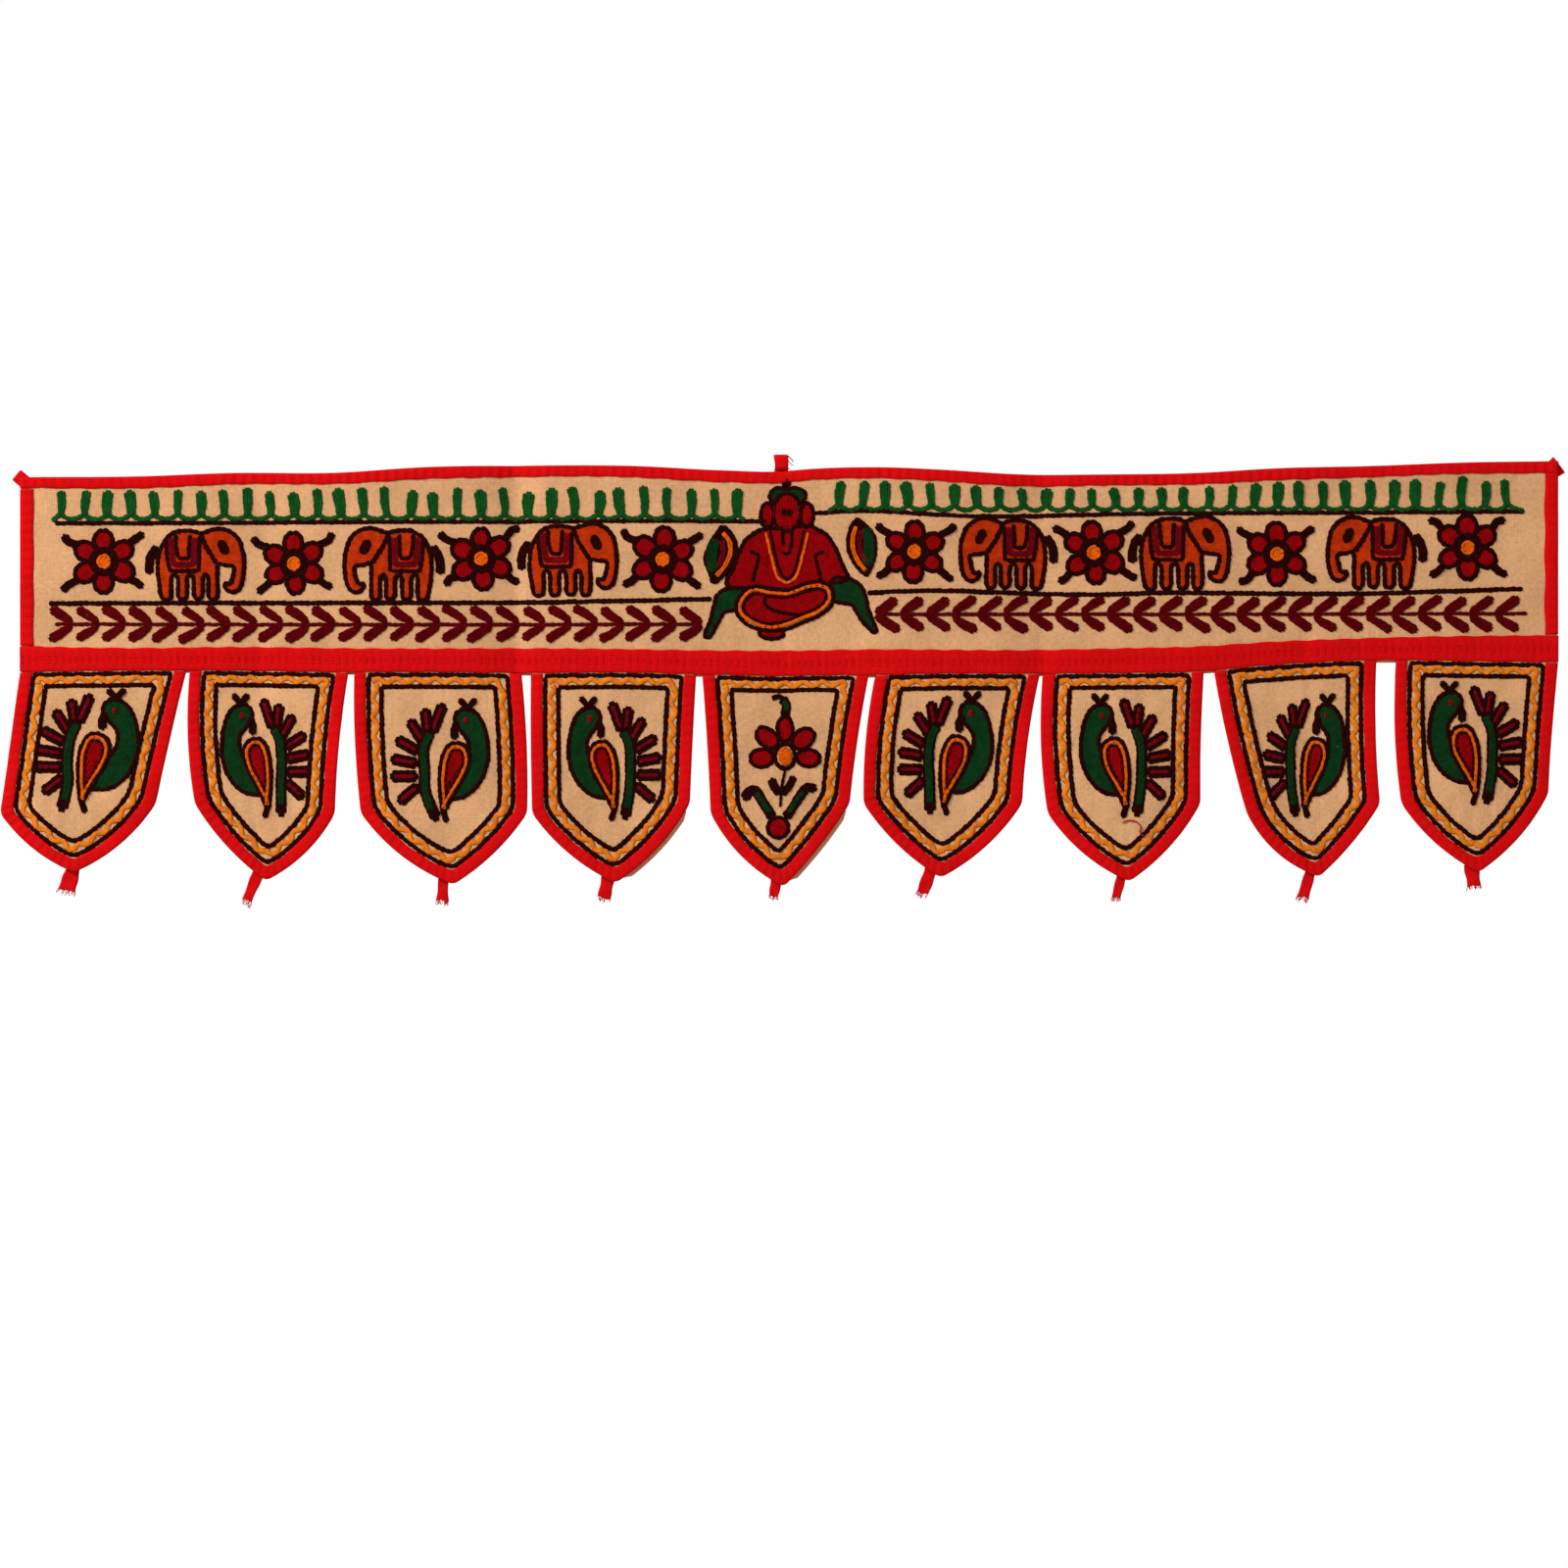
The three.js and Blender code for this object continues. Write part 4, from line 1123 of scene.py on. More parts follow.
def elephant():
    """An elephant that faces right: body, saddle cloth and its borders, ear and tail."""
    outline = through(ELEPHANT_OUTLINE, closed=True)
    return (
        filled("rust", outline, 0.0)
        + fat("wine", [(-16, 18), (-15.3, 9), (-13.8, 1.4), (-11.4, 0.6), (-2, 0.6),
                       (-0.6, 2), (-0.5, 10), (-0.2, 18)], 4.4, 1.1)
        + [("dark", outline, 3.5, 1.2)]
        + line("dark", [(-19.2, 17.5), (-18.4, 8), (-17, -1.6), (-15, -3.6), (-6, -3.8),
                        (1, -3.6), (2.5, -2), (2.6, 8), (3, 19)], 3.5, height=1.4)
        + line("dark", [(-12.6, 20), (-12.2, 12), (-10.8, 5.8), (-8.8, 4.6), (-5.6, 4.6),
                        (-4, 5.8), (-3.8, 12), (-3.2, 20)], 3.5, height=1.4)
        + line("dark", [(3.6, 20), (8, 11), (14.4, 1.2)], 4, height=1.3)
        + filled("dark", oval((18.6, 11.8), 5.6, 2.7, -1.1), -1.1, 0.3, 1.25)
        + [("dark", oval((18.6, 11.8), 4.6, 1.9, -1.1), 2.6, 1.3)]
        + fat("dark", [(-24.2, 12.4), (-28.6, 6.6), (-30, 0), (-29.6, -6)], 6, 1.1)
    )


def six_petals(random):
    """A round flower: six petals on a ring about an orange centre, and four dark leaves."""
    ring = 13.4
    strokes = []
    for k in range(6):
        angle = math.pi / 2 + k * math.pi / 3 + random.uniform(-0.06, 0.06)
        centre = ring * np.array([math.cos(angle), math.sin(angle)])
        grow = random.uniform(0.94, 1.08)
        petal = oval(centre, 6.9 * grow, 5.9 * grow, angle)
        strokes += edged("dark", "crimson", petal, angle, 3.7)
    for angle in np.radians([35, 145, 215, 325]):
        way = np.array([math.cos(angle), math.sin(angle)])
        hook = np.array([-way[1], way[0]]) * random.uniform(-2.6, 2.6)
        reach = random.uniform(0.95, 1.05)
        strokes += fat("dark", [way * 19, way * 26 * reach + hook, way * 31.5 * reach], 5.4, 1.1)
    for radius, width in ((8.4, 4), (5.6, 3.4)):
        strokes.append(("dark", oval((0, 0), radius, radius), width, 1.0))
    strokes += edged("orange", "orange", oval((0, 0), 3.8, 4), random.uniform(0, 1.5), 2.6)
    return strokes


def comb(left, right, count, base, top, ends, random):
    """The leafy comb: upright leaves side by side on a line that sags between them."""
    sagged, room_above, steps = 3.4, 1.2, 12
    places = np.linspace(left, right, count)
    span = places[1] - places[0]
    x = np.linspace(left, right, (count - 1) * steps + 1)
    sag = sagged * np.abs(np.sin(math.pi * (x - left) / span)) ** 0.8
    scallops = np.stack([x, base + 2.6 - sag], -1)
    strokes = [("green", np.vstack([ends[:1], scallops, ends[1:]]), 3.6, 1.05)]
    for place in places:
        ceiling = float(edge_at(place, "top")) - TOP_BINDING - room_above
        tall = min((top - base) * random.uniform(0.84, 1.06), ceiling - base)
        lean, bow = random.uniform(-2.2, 2), random.uniform(-1, 1)
        spine = np.array([(place, base + 1), (place + lean * 0.4 + bow, base + 0.5 * tall),
                          (place + lean, base + tall)])
        strokes += fat("green", spine, random.uniform(5.6, 8.2), 1.05, 0.5)
    return strokes


def chevrons(left, right, count, level, way, random):
    """The chevron vine: pairs of thick arms that lean back from points on a thin stem."""
    strokes = []
    for place in np.linspace(left, right, count):
        for side, reach, lift in ((1, 14, 10.8), (-1, 14.8, 10.6)):
            end = np.array([-way * reach, side * lift]) * random.uniform(0.92, 1.05)
            mid = end * 0.5 + np.array([way, side]) * random.uniform(-0.1, 1.1)
            arm = np.array([(way * 0.8, side * 1.2), mid, end]) + (place, level)
            strokes += fat("maroon", arm, random.uniform(6.2, 7.2), 0.95, 0.45)
    return strokes


def leaf_fan(outline, gold, red, green):
    """A dark leaf with three coloured stripes along it."""
    return (
        filled("dark", outline, math.pi / 2)
        + fat("forest", green, 7.4, 1.15) + fat("wine", red, 3.4, 1.2)
        + fat("orange", gold, 3.2, 1.3) + [("dark", outline, 2.9, 1.1)]
    )


def seated_figure():
    """The seated elephant-headed figure of old door hangings, drawn plainly about its own
    axis: cap, round head, ears, trunk, arms, lap and side cloths."""
    body = through([(-13, -37.5), (-20, -40), (-27, -45), (-31.5, -54), (-35, -63), (-39.5, -73),
                    (-33, -76.5), (-15, -76), (0, -78), (15, -76), (30, -73), (39.5, -70),
                    (35.5, -60), (32, -51), (27, -43), (20, -38), (13, -35.5), (0, -37)], True)
    lap = through([(-22, -77), (-30, -83.5), (-31, -91.5), (-24, -98.6), (-12, -102.4),
                   (0, -100.6), (11, -96), (21, -92), (27.6, -85.6), (28, -77.6), (21.6, -74),
                   (12, -75.4), (2, -79), (-9, -78.8)], True)
    cloths = [
        through([(-45, -80), (-37, -76.6), (-28, -76), (-31, -82), (-33.5, -90), (-41, -92),
                 (-45, -99), (-50.6, -108), (-53.6, -107), (-50, -97), (-47.6, -88)], True),
        through([(29, -71), (39, -70), (47, -73.6), (51, -81), (53.6, -92), (58.6, -103.6),
                 (55.6, -104.4), (48, -96), (43, -88), (36.5, -86), (30.5, -84)], True),
    ]
    cap = through([(-11, -18.6), (-10.4, -13.6), (-5.6, -10.8), (0, -11.8), (5.6, -10.8),
                   (10.6, -13), (12.2, -16.6), (8.6, -20), (5, -15.8), (0, -14.4), (-5, -15.8),
                   (-8.4, -20.4)], True)
    head = oval((0, -27), 8.6, 12.4)
    ears = [oval((side * 12.8, -28.6), 4.2, 7.8) for side in (-1, 1)]
    strokes = []
    for cloth in cloths:
        strokes += edged("dark", "forest", cloth, 0.9, 3.2)
    strokes += filled("crimson", body, math.pi / 2) + [("dark", body, 3.4, 1.1)]
    for ear in ears:
        strokes += edged("dark", "crimson", ear, math.pi / 2, 3.2)
    strokes += filled("crimson", head, math.pi / 2, height=1.0) + [("dark", head, 2.8, 1.15)]
    strokes += edged("dark", "forest", cap, 0.0, 3.0)
    strokes += fat("dark", [(-0.4, -4), (-0.4, -11)], 6.4)
    strokes += fat("dark", [(-4.2, -27), (4.2, -27)], 5, 1.4)
    strokes += line("dark", [(-3, -38.4), (-2.8, -44), (-2.2, -48.6)], 2.6, height=1.3)
    strokes += line("dark", [(3.2, -38.4), (3, -45), (2.2, -51.4), (-0.4, -54), (-3.4, -52.6)],
                    2.7, height=1.3)
    for side in (-1, 1):
        arm = np.array([(-24, -52), (-18.6, -55.4), (-20, -62), (-22.4, -72.4)]) * (-side, 1)
        strokes += line("dark", arm, 3.0, height=1.25)
        necklace = np.array([(-13.6, -40), (-11.4, -50), (-9, -60), (-6, -69), (0, -73.2)])
        strokes += line("orange", necklace * (-side, 1), 2.2, height=1.4)
        strokes += line("dark", (necklace + (2.3, 1.8)) * (-side, 1), 2.0, height=1.25)
    strokes += filled("crimson", lap, 0.35)
    strokes += [("orange", grown(lap, -0.6), 2.6, 1.4), ("dark", grown(lap, 2.1), 3.0, 1.1),
                ("dark", grown(lap, -3.1), 2.3, 1.1)]
    strokes += line("dark", [(-14, -80.6), (-14.6, -86), (-10, -90.4), (-2, -92.4), (8, -94)],
                    3.2, height=1.3)
    strokes += edged("dark", "crimson", oval((-10, -105.4), 8.2, 3.8), 0.0, 3.4)
    strokes += leaf_fan(
        through([(-41.6, -36), (-35.4, -42), (-33, -51), (-36, -61), (-43, -69.6), (-48, -72.4),
                 (-50.6, -66), (-53.4, -57), (-50, -47.4), (-45.6, -40.4)], True),
        [(-41.6, -40), (-37.6, -46), (-36.8, -53), (-40, -61), (-46, -68.4)],
        [(-43, -44.6), (-41.6, -50), (-42.2, -56), (-45.4, -63)],
        [(-46.4, -44), (-49, -51), (-49.4, -58), (-48.2, -66)])
    strokes += leaf_fan(
        through([(44.4, -32), (40.6, -41), (40, -50), (44, -60), (51, -67.4), (53.6, -66),
                 (57, -56), (57.6, -45.6), (54, -38), (48.6, -33)], True),
        [(45, -36), (43, -44), (43.6, -52), (47, -59.4), (51.4, -65)],
        [(48.6, -38.6), (47.4, -46), (48.4, -53), (51.6, -60)],
        [(51.6, -36.6), (53.4, -45), (53.4, -55), (52, -62)])
    return strokes


def peacock(trail):
    """A peacock that looks back: crescent body, wing, stem of the tail and seven feathers.
    trail swings the wing and the foot of the stem, from -1 outwards to 1 under the body."""
    foot, middle, leg = -14 + 7.4 * trail, -15.8 + 1.2 * trail, 3.6 + 2.9 * trail
    body = through([(9, 30.6), (14, 31.8), (20.4, 29), (25.4, 22), (28, 12), (28.7, 0),
                    (25, -12.6), (18, -21.4), (9, -26.4), (-2.2, -26.8), (-4.6, -25), (1.4, -18.4),
                    (8.6, -8), (14.8, 1.5), (15.4, 10), (11.4, 16), (6.6, 20.4), (6, 26.4)], True)
    wing = through([(0, 9.6), (6.6, 7.2), (9.6, 0.6), (7.8, -8.4), (2.4, -18), (-3.4, -27),
                    (-8.8, -35.6), (-10.6, -26), (-11.2, -16), (-10.6, -6), (-8.6, 2),
                    (-5, 7.6)], True) + (leg, 0)
    strokes = filled("forest", body, 1.2) + [("dark", body, 3.4, 1.1)]
    for feather in [((-10.4, 15.4), (-2, 35.6)), ((-12.4, 16), (-15, 32.4)),
                    ((-15.6, 9.4), (-26, 25)), ((-18.4, 3.2), (-35.4, 12.4)),
                    ((-19.4, -4), (-39, -0.6)), ((-19.4, -12.4), (-39.4, -12.2)),
                    ((-19, -18), (-33.6, -29.6))]:
        strokes += cored("dark", "wine", feather, 8.2, 3.1)
    strokes += fat("dark", [(-10, 18.6), (-15.6, 7), (middle - 0.6, -10), (middle, -22),
                            (foot, -41.6)], 8.2, 0.95)
    strokes += fat("forest", [(-11, 15.6), (-15.6, 6), (middle - 0.6, -10), (middle, -22),
                              ((middle + foot) / 2, -34)], 4.8, 1.4)
    strokes += fat("dark", [(leg - 9.4, -33), (leg - 6.2, -42.6)], 4.4)
    strokes += filled("crimson", grown(wing, -3.6), 1.1, 0.6, 1.0)
    strokes += [("dark", wing, 3.2, 1.25), ("orange", grown(wing, -2.3), 2.6, 1.5),
                ("dark", grown(wing, -4.5), 2.4, 1.25)]
    strokes += fat("dark", [(8.4, 23.4), (5.4, 17.6), (6, 11.6)], 5.8, 1.15)
    for crest in (((12.8, 34.2), (8.4, 38.4)), ((16.4, 34.2), (20.8, 38.6))):
        strokes += fat("dark", [(14.6, 30), *crest], 4.6, 1.15, 0.6)
    strokes += [("crimson", oval((13.6, 24.4), 1.0, 1.0), 2.8, 1.45)]
    return strokes


def pot_flower():
    """The middle flag's plant: a ball with two leaves, a bud and a five-petalled flower."""
    centre = np.array([2.6, -186])
    petals = ((90, 5.0, 8), (138, 5.6, 8.2), (40, 5.8, 8), (184, 5.8, 7.6), (-4, 5.4, 7.6))
    strokes = []
    for degrees, wide, long in petals:
        angle = math.radians(degrees)
        at = centre + (11 + long - 1.4) * np.array([math.cos(angle), math.sin(angle)]) * (0.88, 1)
        strokes += edged("dark", "crimson", oval(at, long, wide, angle), angle, 3.1)
    strokes += [("dark", oval(centre, 6.6, 8), 3.4, 1.0)]
    strokes += filled("orange", oval(centre, 5, 6.4), 0.5, 0.6, 1.2)
    above = [("dark", 3.8, 0.95, [(-6.4, -148.4), (-1.6, -147.2), (2.6, -149.4)]),
             ("dark", 6.4, 1.0, [(0, -147.6), (3.4, -152.6), (2.4, -161)]),
             ("forest", 3.4, 1.35, [(1.4, -149.6), (3.4, -153), (2.8, -157.4)]),
             ("dark", 6, 1.0, [(-6.4, -200), (-4.6, -205.6), (-0.4, -211.4)]),
             ("dark", 5.2, 1.05, [(8.4, -198.8), (5.6, -205), (0.4, -211.4)])]
    below = [("dark", 7.0, 0.95, [(-5, -227), (-11.6, -216.4), (-17, -208.6), (-21.4, -210),
                                  (-24, -215)]),
             ("forest", 4.0, 1.35, [(-7, -223.6), (-12.6, -215), (-16.6, -209.2)]),
             ("dark", 6.4, 0.95, [(2.6, -227), (9.4, -216.6), (15.4, -207.8), (19, -206.6),
                                  (23.4, -208)]),
             ("forest", 3.2, 1.35, [(4.6, -223.4), (10.4, -214.4), (15, -208.8)])]
    for yarn, width, height, points in above:
        strokes += fat(yarn, points, width, height)
    strokes += line("dark", [(3, -193), (1, -203), (-0.8, -219)], 2.2)
    for yarn, width, height, points in below:
        strokes += fat(yarn, points, width, height)
    strokes += edged("dark", "crimson", oval((-2, -232.6), 6.8, 6.6), 0.4, 3.0)
    return strokes


# Places on the panel

FLOWER_PLACES = [(-442.2, -58.9), (-318.1, -60.2), (-195.8, -57), (-77.4, -57.6), (87, -52.5),
                 (204.2, -53.1), (323.8, -54.1), (448, -49.9)]
ELEPHANT_PLACES = [(-382.7, -61.4, 1), (-252.6, -61.4, -1), (-139.5, -58.5, 1),
                   (148.5, -54.4, -1), (259.8, -54, 1), (388.8, -53.8, -1)]

# The dark lines over and under the animals, each with its width.
LINES = [(3.2, [(-474, -34), (-300, -33.4), (-120, -32.6), (-9.6, -32.6)]),
         (3.2, [(19.8, -27.5), (60, -25.9), (130, -29.4), (258, -27.5), (411, -26.9),
                (485, -26.2)]),
         (3.5, [(-478, -86.4), (-350, -86), (-177, -85.8), (-45.4, -83.5)]),
         (3.5, [(56.3, -79.4), (104, -78.1), (194, -80.6), (258, -79.4), (373, -80),
                (484, -76.8)])]


def panel_strokes():
    """The panel's strokes by group."""
    random = np.random.default_rng(SEEDS["motifs"])
    border = comb(-470.4, -28.2, 30, -30.6, -10.6, [(-476, -32.6), (-23.7, -32.6)], random)
    border += comb(37.8, 474.2, 30, -24.6, -3.4, [(30.7, -26.4), (485.1, -26.6)], random)
    for width, points in LINES:
        border += line("dark", points, width)
    flowers, elephants = [], []
    for place in FLOWER_PLACES:
        flowers += placed(six_petals(random), place, False, random.uniform(0.97, 1.03),
                          random.uniform(-0.08, 0.08))
    for x, z, way in ELEPHANT_PLACES:
        elephants += placed(elephant(), (x, z), way < 0, random.uniform(0.98, 1.02))
    vine = chevrons(-463.4, -52.5, 25, -99.8, 1, random)
    vine += line("maroon", [(-474, -99.8), (-250, -100.2), (-52, -99.8)], 2.7)
    vine += chevrons(62, 467.2, 25, -93.4, -1, random)
    vine += line("maroon", [(62, -93.4), (260, -93.4), (487, -93)], 2.7)
    return {"border": border, "flowers": flowers, "elephants": elephants, "vine": vine,
            "figure": placed(seated_figure(), (3.8, 0))}


def make_reverse(groups):
    """The back of the panel's embroidery, where each stroke comes through as flat stitches."""
    pitch = bpy.context.scene.toran_sizes.stitch / MM
    across, rise = np.array([-0.5, 0.5, 0.5, -0.5]) * 1.1, np.array([0.35, 0.35, -0.1, -0.1])

    def depth(_, corners):
        return panel_depth(corners[..., 0], corners[..., 1]) + CLOTH / 2 + rise

    shells = Shells()
    for strokes in groups.values():
        for yarn, path, _, _ in strokes:
            flat_stitches(shells, path, pitch, across, depth, YARNS.index(yarn))
    return shells.finish("panel_reverse_stitches", yarn_materials())


# Flag embroidery

# X and Z of each peacock, the way it faces, its size in X and how its tail trails.
PEACOCKS = {0: (-448.4, -180.8, 1, 1, -1), 1: (-340.4, -184, -1, 0.86, -0.3),
            2: (-218.4, -187, 1, 0.94, 1), 3: (-112.8, -186, -1, 0.9, 0.3),
            5: (111.4, -182.4, 1, 0.91, -0.2), 6: (221, -184, -1, 0.88, 0.2),
            7: (345.2, -184, 1, 0.79, 0.4), 8: (449.4, -175.8, -1, 0.92, 0.3)}

# A thread end left hanging under one peacock.
LOOSE_END_FLAG = 6
LOOSE_END = [(222.6, -229.4), (227, -227.8), (232, -229.2), (235, -232.4), (234, -235.6),
             (237.6, -239)]

# The lines of a flag's frame: yarn, distance in from the binding, drop below the band,
# wave to either side, width and height.
FRAME_LINES = [("dark", 1.6, 1.9, 0, 3.3, 1.0), ("gold", 5.8, 5.5, 1.5, 4.0, 1.0),
               ("dark", 10.1, 9.4, 0, 3.4, 1.1)]
FRAME_WAVE_PITCH = 12.4


def frame_line(flag, distance, drop, wave):
    """A line round a flag's inside: along the sides and cheeks at a distance in from the
    edge, then along the top at a drop below the band. A wave swings it to either side."""
    steps, steps_above, spacing = 10, 40, 0.9
    edge, way = flag_edge(flag, steps)
    path = edge + way * distance
    roof = edge_at(path[:, 0], "band_foot") - drop
    path = path[path[:, 1] < roof]
    x = np.linspace(path[-1, 0], path[0, 0], steps_above)
    top = np.stack([x, edge_at(x, "band_foot") - drop], -1)
    path = np.vstack([path, top[1:], path[:1]])
    if not wave:
        return path
    length = path_length(path)
    path, along = even_steps(path, int(length / spacing))
    turns = round(length / FRAME_WAVE_PITCH)
    return path + sideways(path) * (wave * np.sin(2 * math.pi * turns * along / length))[:, None]


def flag_strokes(number):
    """A flag's strokes: its frame of two dark lines and a wavy one, and its motif."""
    flag = FLAGS[number]
    strokes = [(yarn, frame_line(flag, FLAG_BINDING + distance, drop, wave), width, height)
               for yarn, distance, drop, wave, width, height in FRAME_LINES]
    if number in PEACOCKS:
        x, z, way, stretch, trail = PEACOCKS[number]
        if number == LOOSE_END_FLAG:
            strokes += line("rust", LOOSE_END, 0.9, height=1.5)
        return strokes + placed(peacock(trail), (x, z), way < 0, (stretch, 1))
    return strokes + pot_flower()


# Sewing thread

def make_band_seam():
    """Three rows of running stitches that join the band's layers, on both its faces."""
    spacing, pitch, width = 4, 4.4, 0.6
    shells = Shells()
    x = long_path(spacing)
    head, foot = edge_at(x, "band_top"), edge_at(x, "band_foot")
    across, rise = np.array([-0.5, 0.5, 0.35, -0.35]) * width, np.array([-0.1, -0.1, 0.16, 0.16])
    for side in (-1, 1):
        for share in (0.4, 0.5, 0.62):
            def depth(ends, _):
                at = ends[:, 0]
                rumple = wrinkles(at, edge_at(at, "band_top")) * (1 - share)
                face = fold_depth(at, 0 * at) + rumple + side * STRIP_HALF * 0.95
                return face[:, None] + side * rise
            row = head + (foot - head) * share + 0.3 * np.sin(x / 15 + 9 * share)
            flat_stitches(shells, np.stack([x, row], -1), pitch, across, depth)
    return shells.finish("band_seam_thread", [finishes()["red_sewing_thread"]])


# Stage

FRAME_WIDTH, CAMERA_DISTANCE = 1.024, 3.4
FLOOR_HALF, FLOOR_HEIGHT = 7.0, -2.1

# Place, power and width of each lamp, and the point that all of them face.
LAMPS = {"key": ((-2.6, -2.0, 2.0), 144, 0.8), "fill": ((2.2, -2.0, 0.4), 10, 1.6),
         "back": ((-0.6, 2.2, 0.8), 34, 1.4)}
LAMP_TARGET = (0, 0, -0.15)


def make_stage():
    """A pale floor below, lamps at the upper left, the right and the back, and the camera:
    level with the hanging and far off."""
    scene = bpy.context.scene
    mesh = bpy.data.meshes.new("floor")
    corners = [(x * FLOOR_HALF, y * FLOOR_HALF, FLOOR_HEIGHT)
               for x, y in ((-1, -1), (1, -1), (1, 1), (-1, 1))]
    mesh.from_pydata(corners, [], [(0, 1, 2, 3)])
    floor = bpy.data.objects.new("floor", mesh)
    scene.collection.objects.link(floor)
    # Matt painted board.
    material, _, surface = new_material("pale_painted_board", roughness=0.9, sheen=0.0,
                                        specular=0.3)
    surface.inputs["Base Color"].default_value = (*linear("#e8e6e2"), 1)
    mesh.materials.append(material)

    world = bpy.data.worlds.new("studio")
    world.use_nodes = True
    tree = world.node_tree
    tree.nodes.clear()
    sky = add_node(tree, "ShaderNodeBackground", {"Color": (1, 1, 1, 1), "Strength": 1.0})
    soft = add_node(tree, "ShaderNodeBackground", {"Color": (1, 0.99, 0.98, 1), "Strength": 0.3})
    path = add_node(tree, "ShaderNodeLightPath")
    mix = add_node(tree, "ShaderNodeMixShader", {
        0: path.outputs["Is Camera Ray"], 1: soft.outputs["Background"],
        2: sky.outputs["Background"]})
    add_node(tree, "ShaderNodeOutputWorld", {"Surface": mix.outputs["Shader"]})
    scene.world = world

    for name, (place, energy, size) in LAMPS.items():
        lamp = bpy.data.lights.new(name, "AREA")
        lamp.energy, lamp.size = energy, size
        light = bpy.data.objects.new(name, lamp)
        light.location = place
        aim = np.array(LAMP_TARGET) - place
        light.rotation_euler = (math.atan2(math.hypot(aim[0], aim[1]), -aim[2]), 0,
                                math.atan2(aim[1], aim[0]) - math.pi / 2)
        scene.collection.objects.link(light)

    camera = bpy.data.cameras.new("camera")
    camera.sensor_width = 36
    camera.lens = camera.sensor_width * CAMERA_DISTANCE / FRAME_WIDTH
    eye = bpy.data.objects.new("camera", camera)
    eye.location = (0.0019, -CAMERA_DISTANCE, -0.2042)
    eye.rotation_euler = (math.pi / 2, 0, 0)
    scene.collection.objects.link(eye)
    scene.camera = eye
    scene.view_settings.view_transform = "Standard"


# Add-on

class ToranSizes(bpy.types.PropertyGroup):
    """Sizes that change how the embroidery is sewn."""
    stitch: bpy.props.FloatProperty(
        name="Stitch length", description="Length of one chain stitch",
        default=0.0038, min=0.002, max=0.008, unit="LENGTH")
    yarn_height: bpy.props.FloatProperty(
        name="Yarn height", description="How high the yarn stands, as a share of its usual height",
        default=1.0, min=0.3, max=1.6, subtype="FACTOR")


def colour_property(name, description, code):
    """A colour that a user may change, its default given as an sRGB hex code."""
    return bpy.props.FloatVectorProperty(
        name=name, description=description, default=linear(code), size=3,
        min=0, max=1, subtype="COLOR")


class ToranColours(bpy.types.PropertyGroup):
    """Colours of the cloths and yarns."""
    cream: colour_property("Cream cotton", "Ground of the panel and flags", "#e0a877")
    red: colour_property("Red cotton", "Bindings, band and tails", "#dc080c")
    peach: colour_property("Peach cotton", "Lining", "#e0a078")
    thread: colour_property("Sewing thread", "Running stitches", "#d4080b")
    dark: colour_property("Dark yarn", "Outlines", "#280503")
    maroon: colour_property("Maroon yarn", "Vine", "#5c0207")
    wine: colour_property("Wine yarn", "Feathers and saddles", "#740410")
    crimson: colour_property("Crimson yarn", "Petals and the figure", "#930207")
    green: colour_property("Green yarn", "Leafy border", "#12501c")
    forest: colour_property("Dark green yarn", "Peacocks and side cloths", "#0c3616")
    orange: colour_property("Orange yarn", "Flower centres and wings", "#f5620a")
    rust: colour_property("Orange-red yarn", "Elephants", "#bd3208")
    gold: colour_property("Light orange yarn", "Wavy lines", "#fb7f1e")


class PieceOperator:
    """Shared settings of the operators."""
    bl_options = {"REGISTER"}


class TORAN_OT_main_panel(PieceOperator, bpy.types.Operator):
    """Make the main panel with its bindings, loop and tabs"""
    bl_idname = "toran.main_panel"
    bl_label = "Main panel"

    def execute(self, context):
        panel = make_main_panel()
        on_it = [make_top_binding(),
                 make_side_binding("side_binding_left", LEFT, LEFT + SIDE_BINDING),
                 make_side_binding("side_binding_right", RIGHT, RIGHT - SIDE_BINDING),
                 make_middle_loop()]
        on_it += [make_corner_tab(tab, SEEDS["tabs"] + k) for k, tab in enumerate(TABS)]
        return {"FINISHED"}


class TORAN_OT_band(PieceOperator, bpy.types.Operator):
    """Make the red band with its running stitches"""
    bl_idname = "toran.band"
    bl_label = "Band"

    def execute(self, context):
        make_band()
        make_band_seam()
        return {"FINISHED"}


class TORAN_OT_flags(PieceOperator, bpy.types.Operator):
    """Make the nine flags with their bindings, tails and embroidery"""
    bl_idname = "toran.flags"
    bl_label = "Flags"

    def execute(self, context):
        for number, flag in enumerate(FLAGS):
            name = f"flag_{number + 1}"
            cloth = make_flag_cloth(flag, f"{name}_cloth")
            binding = make_flag_binding(flag, f"{name}_binding", SEEDS["flag_bindings"] + number)
            tail = make_tail(flag, f"{name}_tail", SEEDS["tails"] + number)
            stitches = embroider(f"{name}_stitches", flag_strokes(number),
                                 lambda x, z: flag_depth(flag, x, z),
                                 SEEDS["flag_stitches"] + number)
            edge, _ = flag_edge(flag, 6)
        return {"FINISHED"}


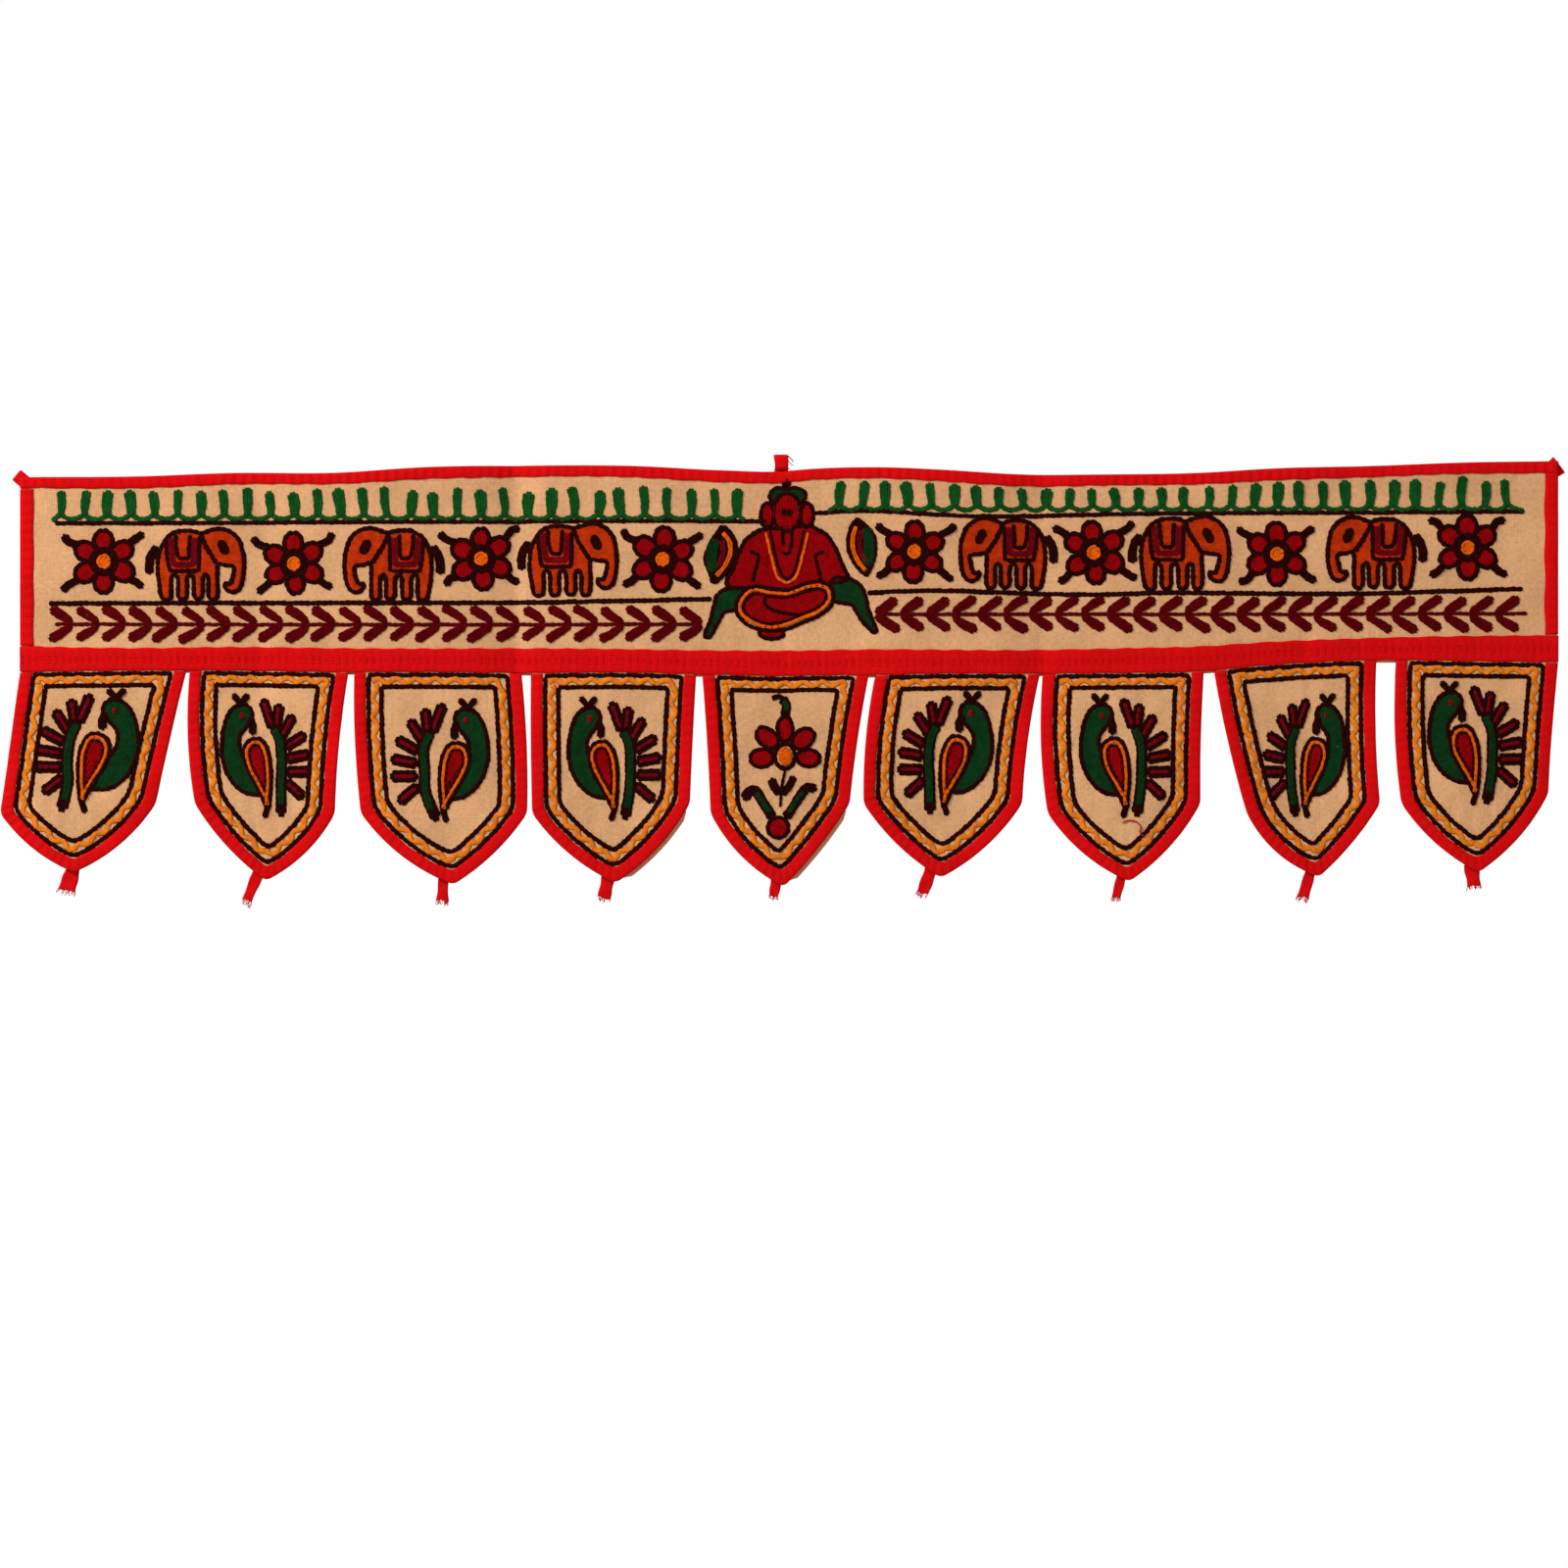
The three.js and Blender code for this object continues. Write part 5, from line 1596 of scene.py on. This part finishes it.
class TORAN_OT_lining(PieceOperator, bpy.types.Operator):
    """Make the peach lining behind the band and the flags"""
    bl_idname = "toran.lining"
    bl_label = "Lining"

    def execute(self, context):
        lining = make_lining()
        return {"FINISHED"}


class TORAN_OT_embroidery(PieceOperator, bpy.types.Operator):
    """Sew the panel's border, flowers, elephants, vine and middle figure"""
    bl_idname = "toran.embroidery"
    bl_label = "Panel embroidery"

    def execute(self, context):
        groups = panel_strokes()
        for k, (name, strokes) in enumerate(groups.items()):
            embroider(f"panel_{name}_stitches", strokes, panel_depth, SEEDS["panel_stitches"] + k)
        make_reverse(groups)
        return {"FINISHED"}


class TORAN_OT_stage(PieceOperator, bpy.types.Operator):
    """Make the floor, the lights and the camera"""
    bl_idname = "toran.stage"
    bl_label = "Stage"

    def execute(self, context):
        make_stage()
        return {"FINISHED"}


class TORAN_PT_panel(bpy.types.Panel):
    """Lists the toran's settings and operators"""
    bl_label = "Toran"
    bl_idname = "TORAN_PT_panel"
    bl_space_type = "VIEW_3D"
    bl_region_type = "UI"
    bl_category = "Toran"

    def draw(self, context):
        for group in (context.scene.toran_sizes, context.scene.toran_colours):
            for name in group.bl_rna.properties.keys():
                if name not in ("rna_type", "name"):
                    self.layout.prop(group, name)
        for operator in OPERATORS:
            self.layout.operator(operator.bl_idname)


OPERATORS = (TORAN_OT_stage, TORAN_OT_main_panel, TORAN_OT_band, TORAN_OT_flags,
             TORAN_OT_lining, TORAN_OT_embroidery)
CLASSES = (ToranSizes, ToranColours, *OPERATORS, TORAN_PT_panel)


def register():
    for cls in CLASSES:
        bpy.utils.register_class(cls)
    bpy.types.Scene.toran_sizes = bpy.props.PointerProperty(type=ToranSizes)
    bpy.types.Scene.toran_colours = bpy.props.PointerProperty(type=ToranColours)


def unregister():
    del bpy.types.Scene.toran_colours
    del bpy.types.Scene.toran_sizes
    for cls in reversed(CLASSES):
        bpy.utils.unregister_class(cls)


def main():
    """Registers the classes and makes the stage and the pieces in order."""
    register()
    for operator in OPERATORS:
        group, name = operator.bl_idname.split(".")
        getattr(getattr(bpy.ops, group), name)()


if __name__ == "__main__":
    main()
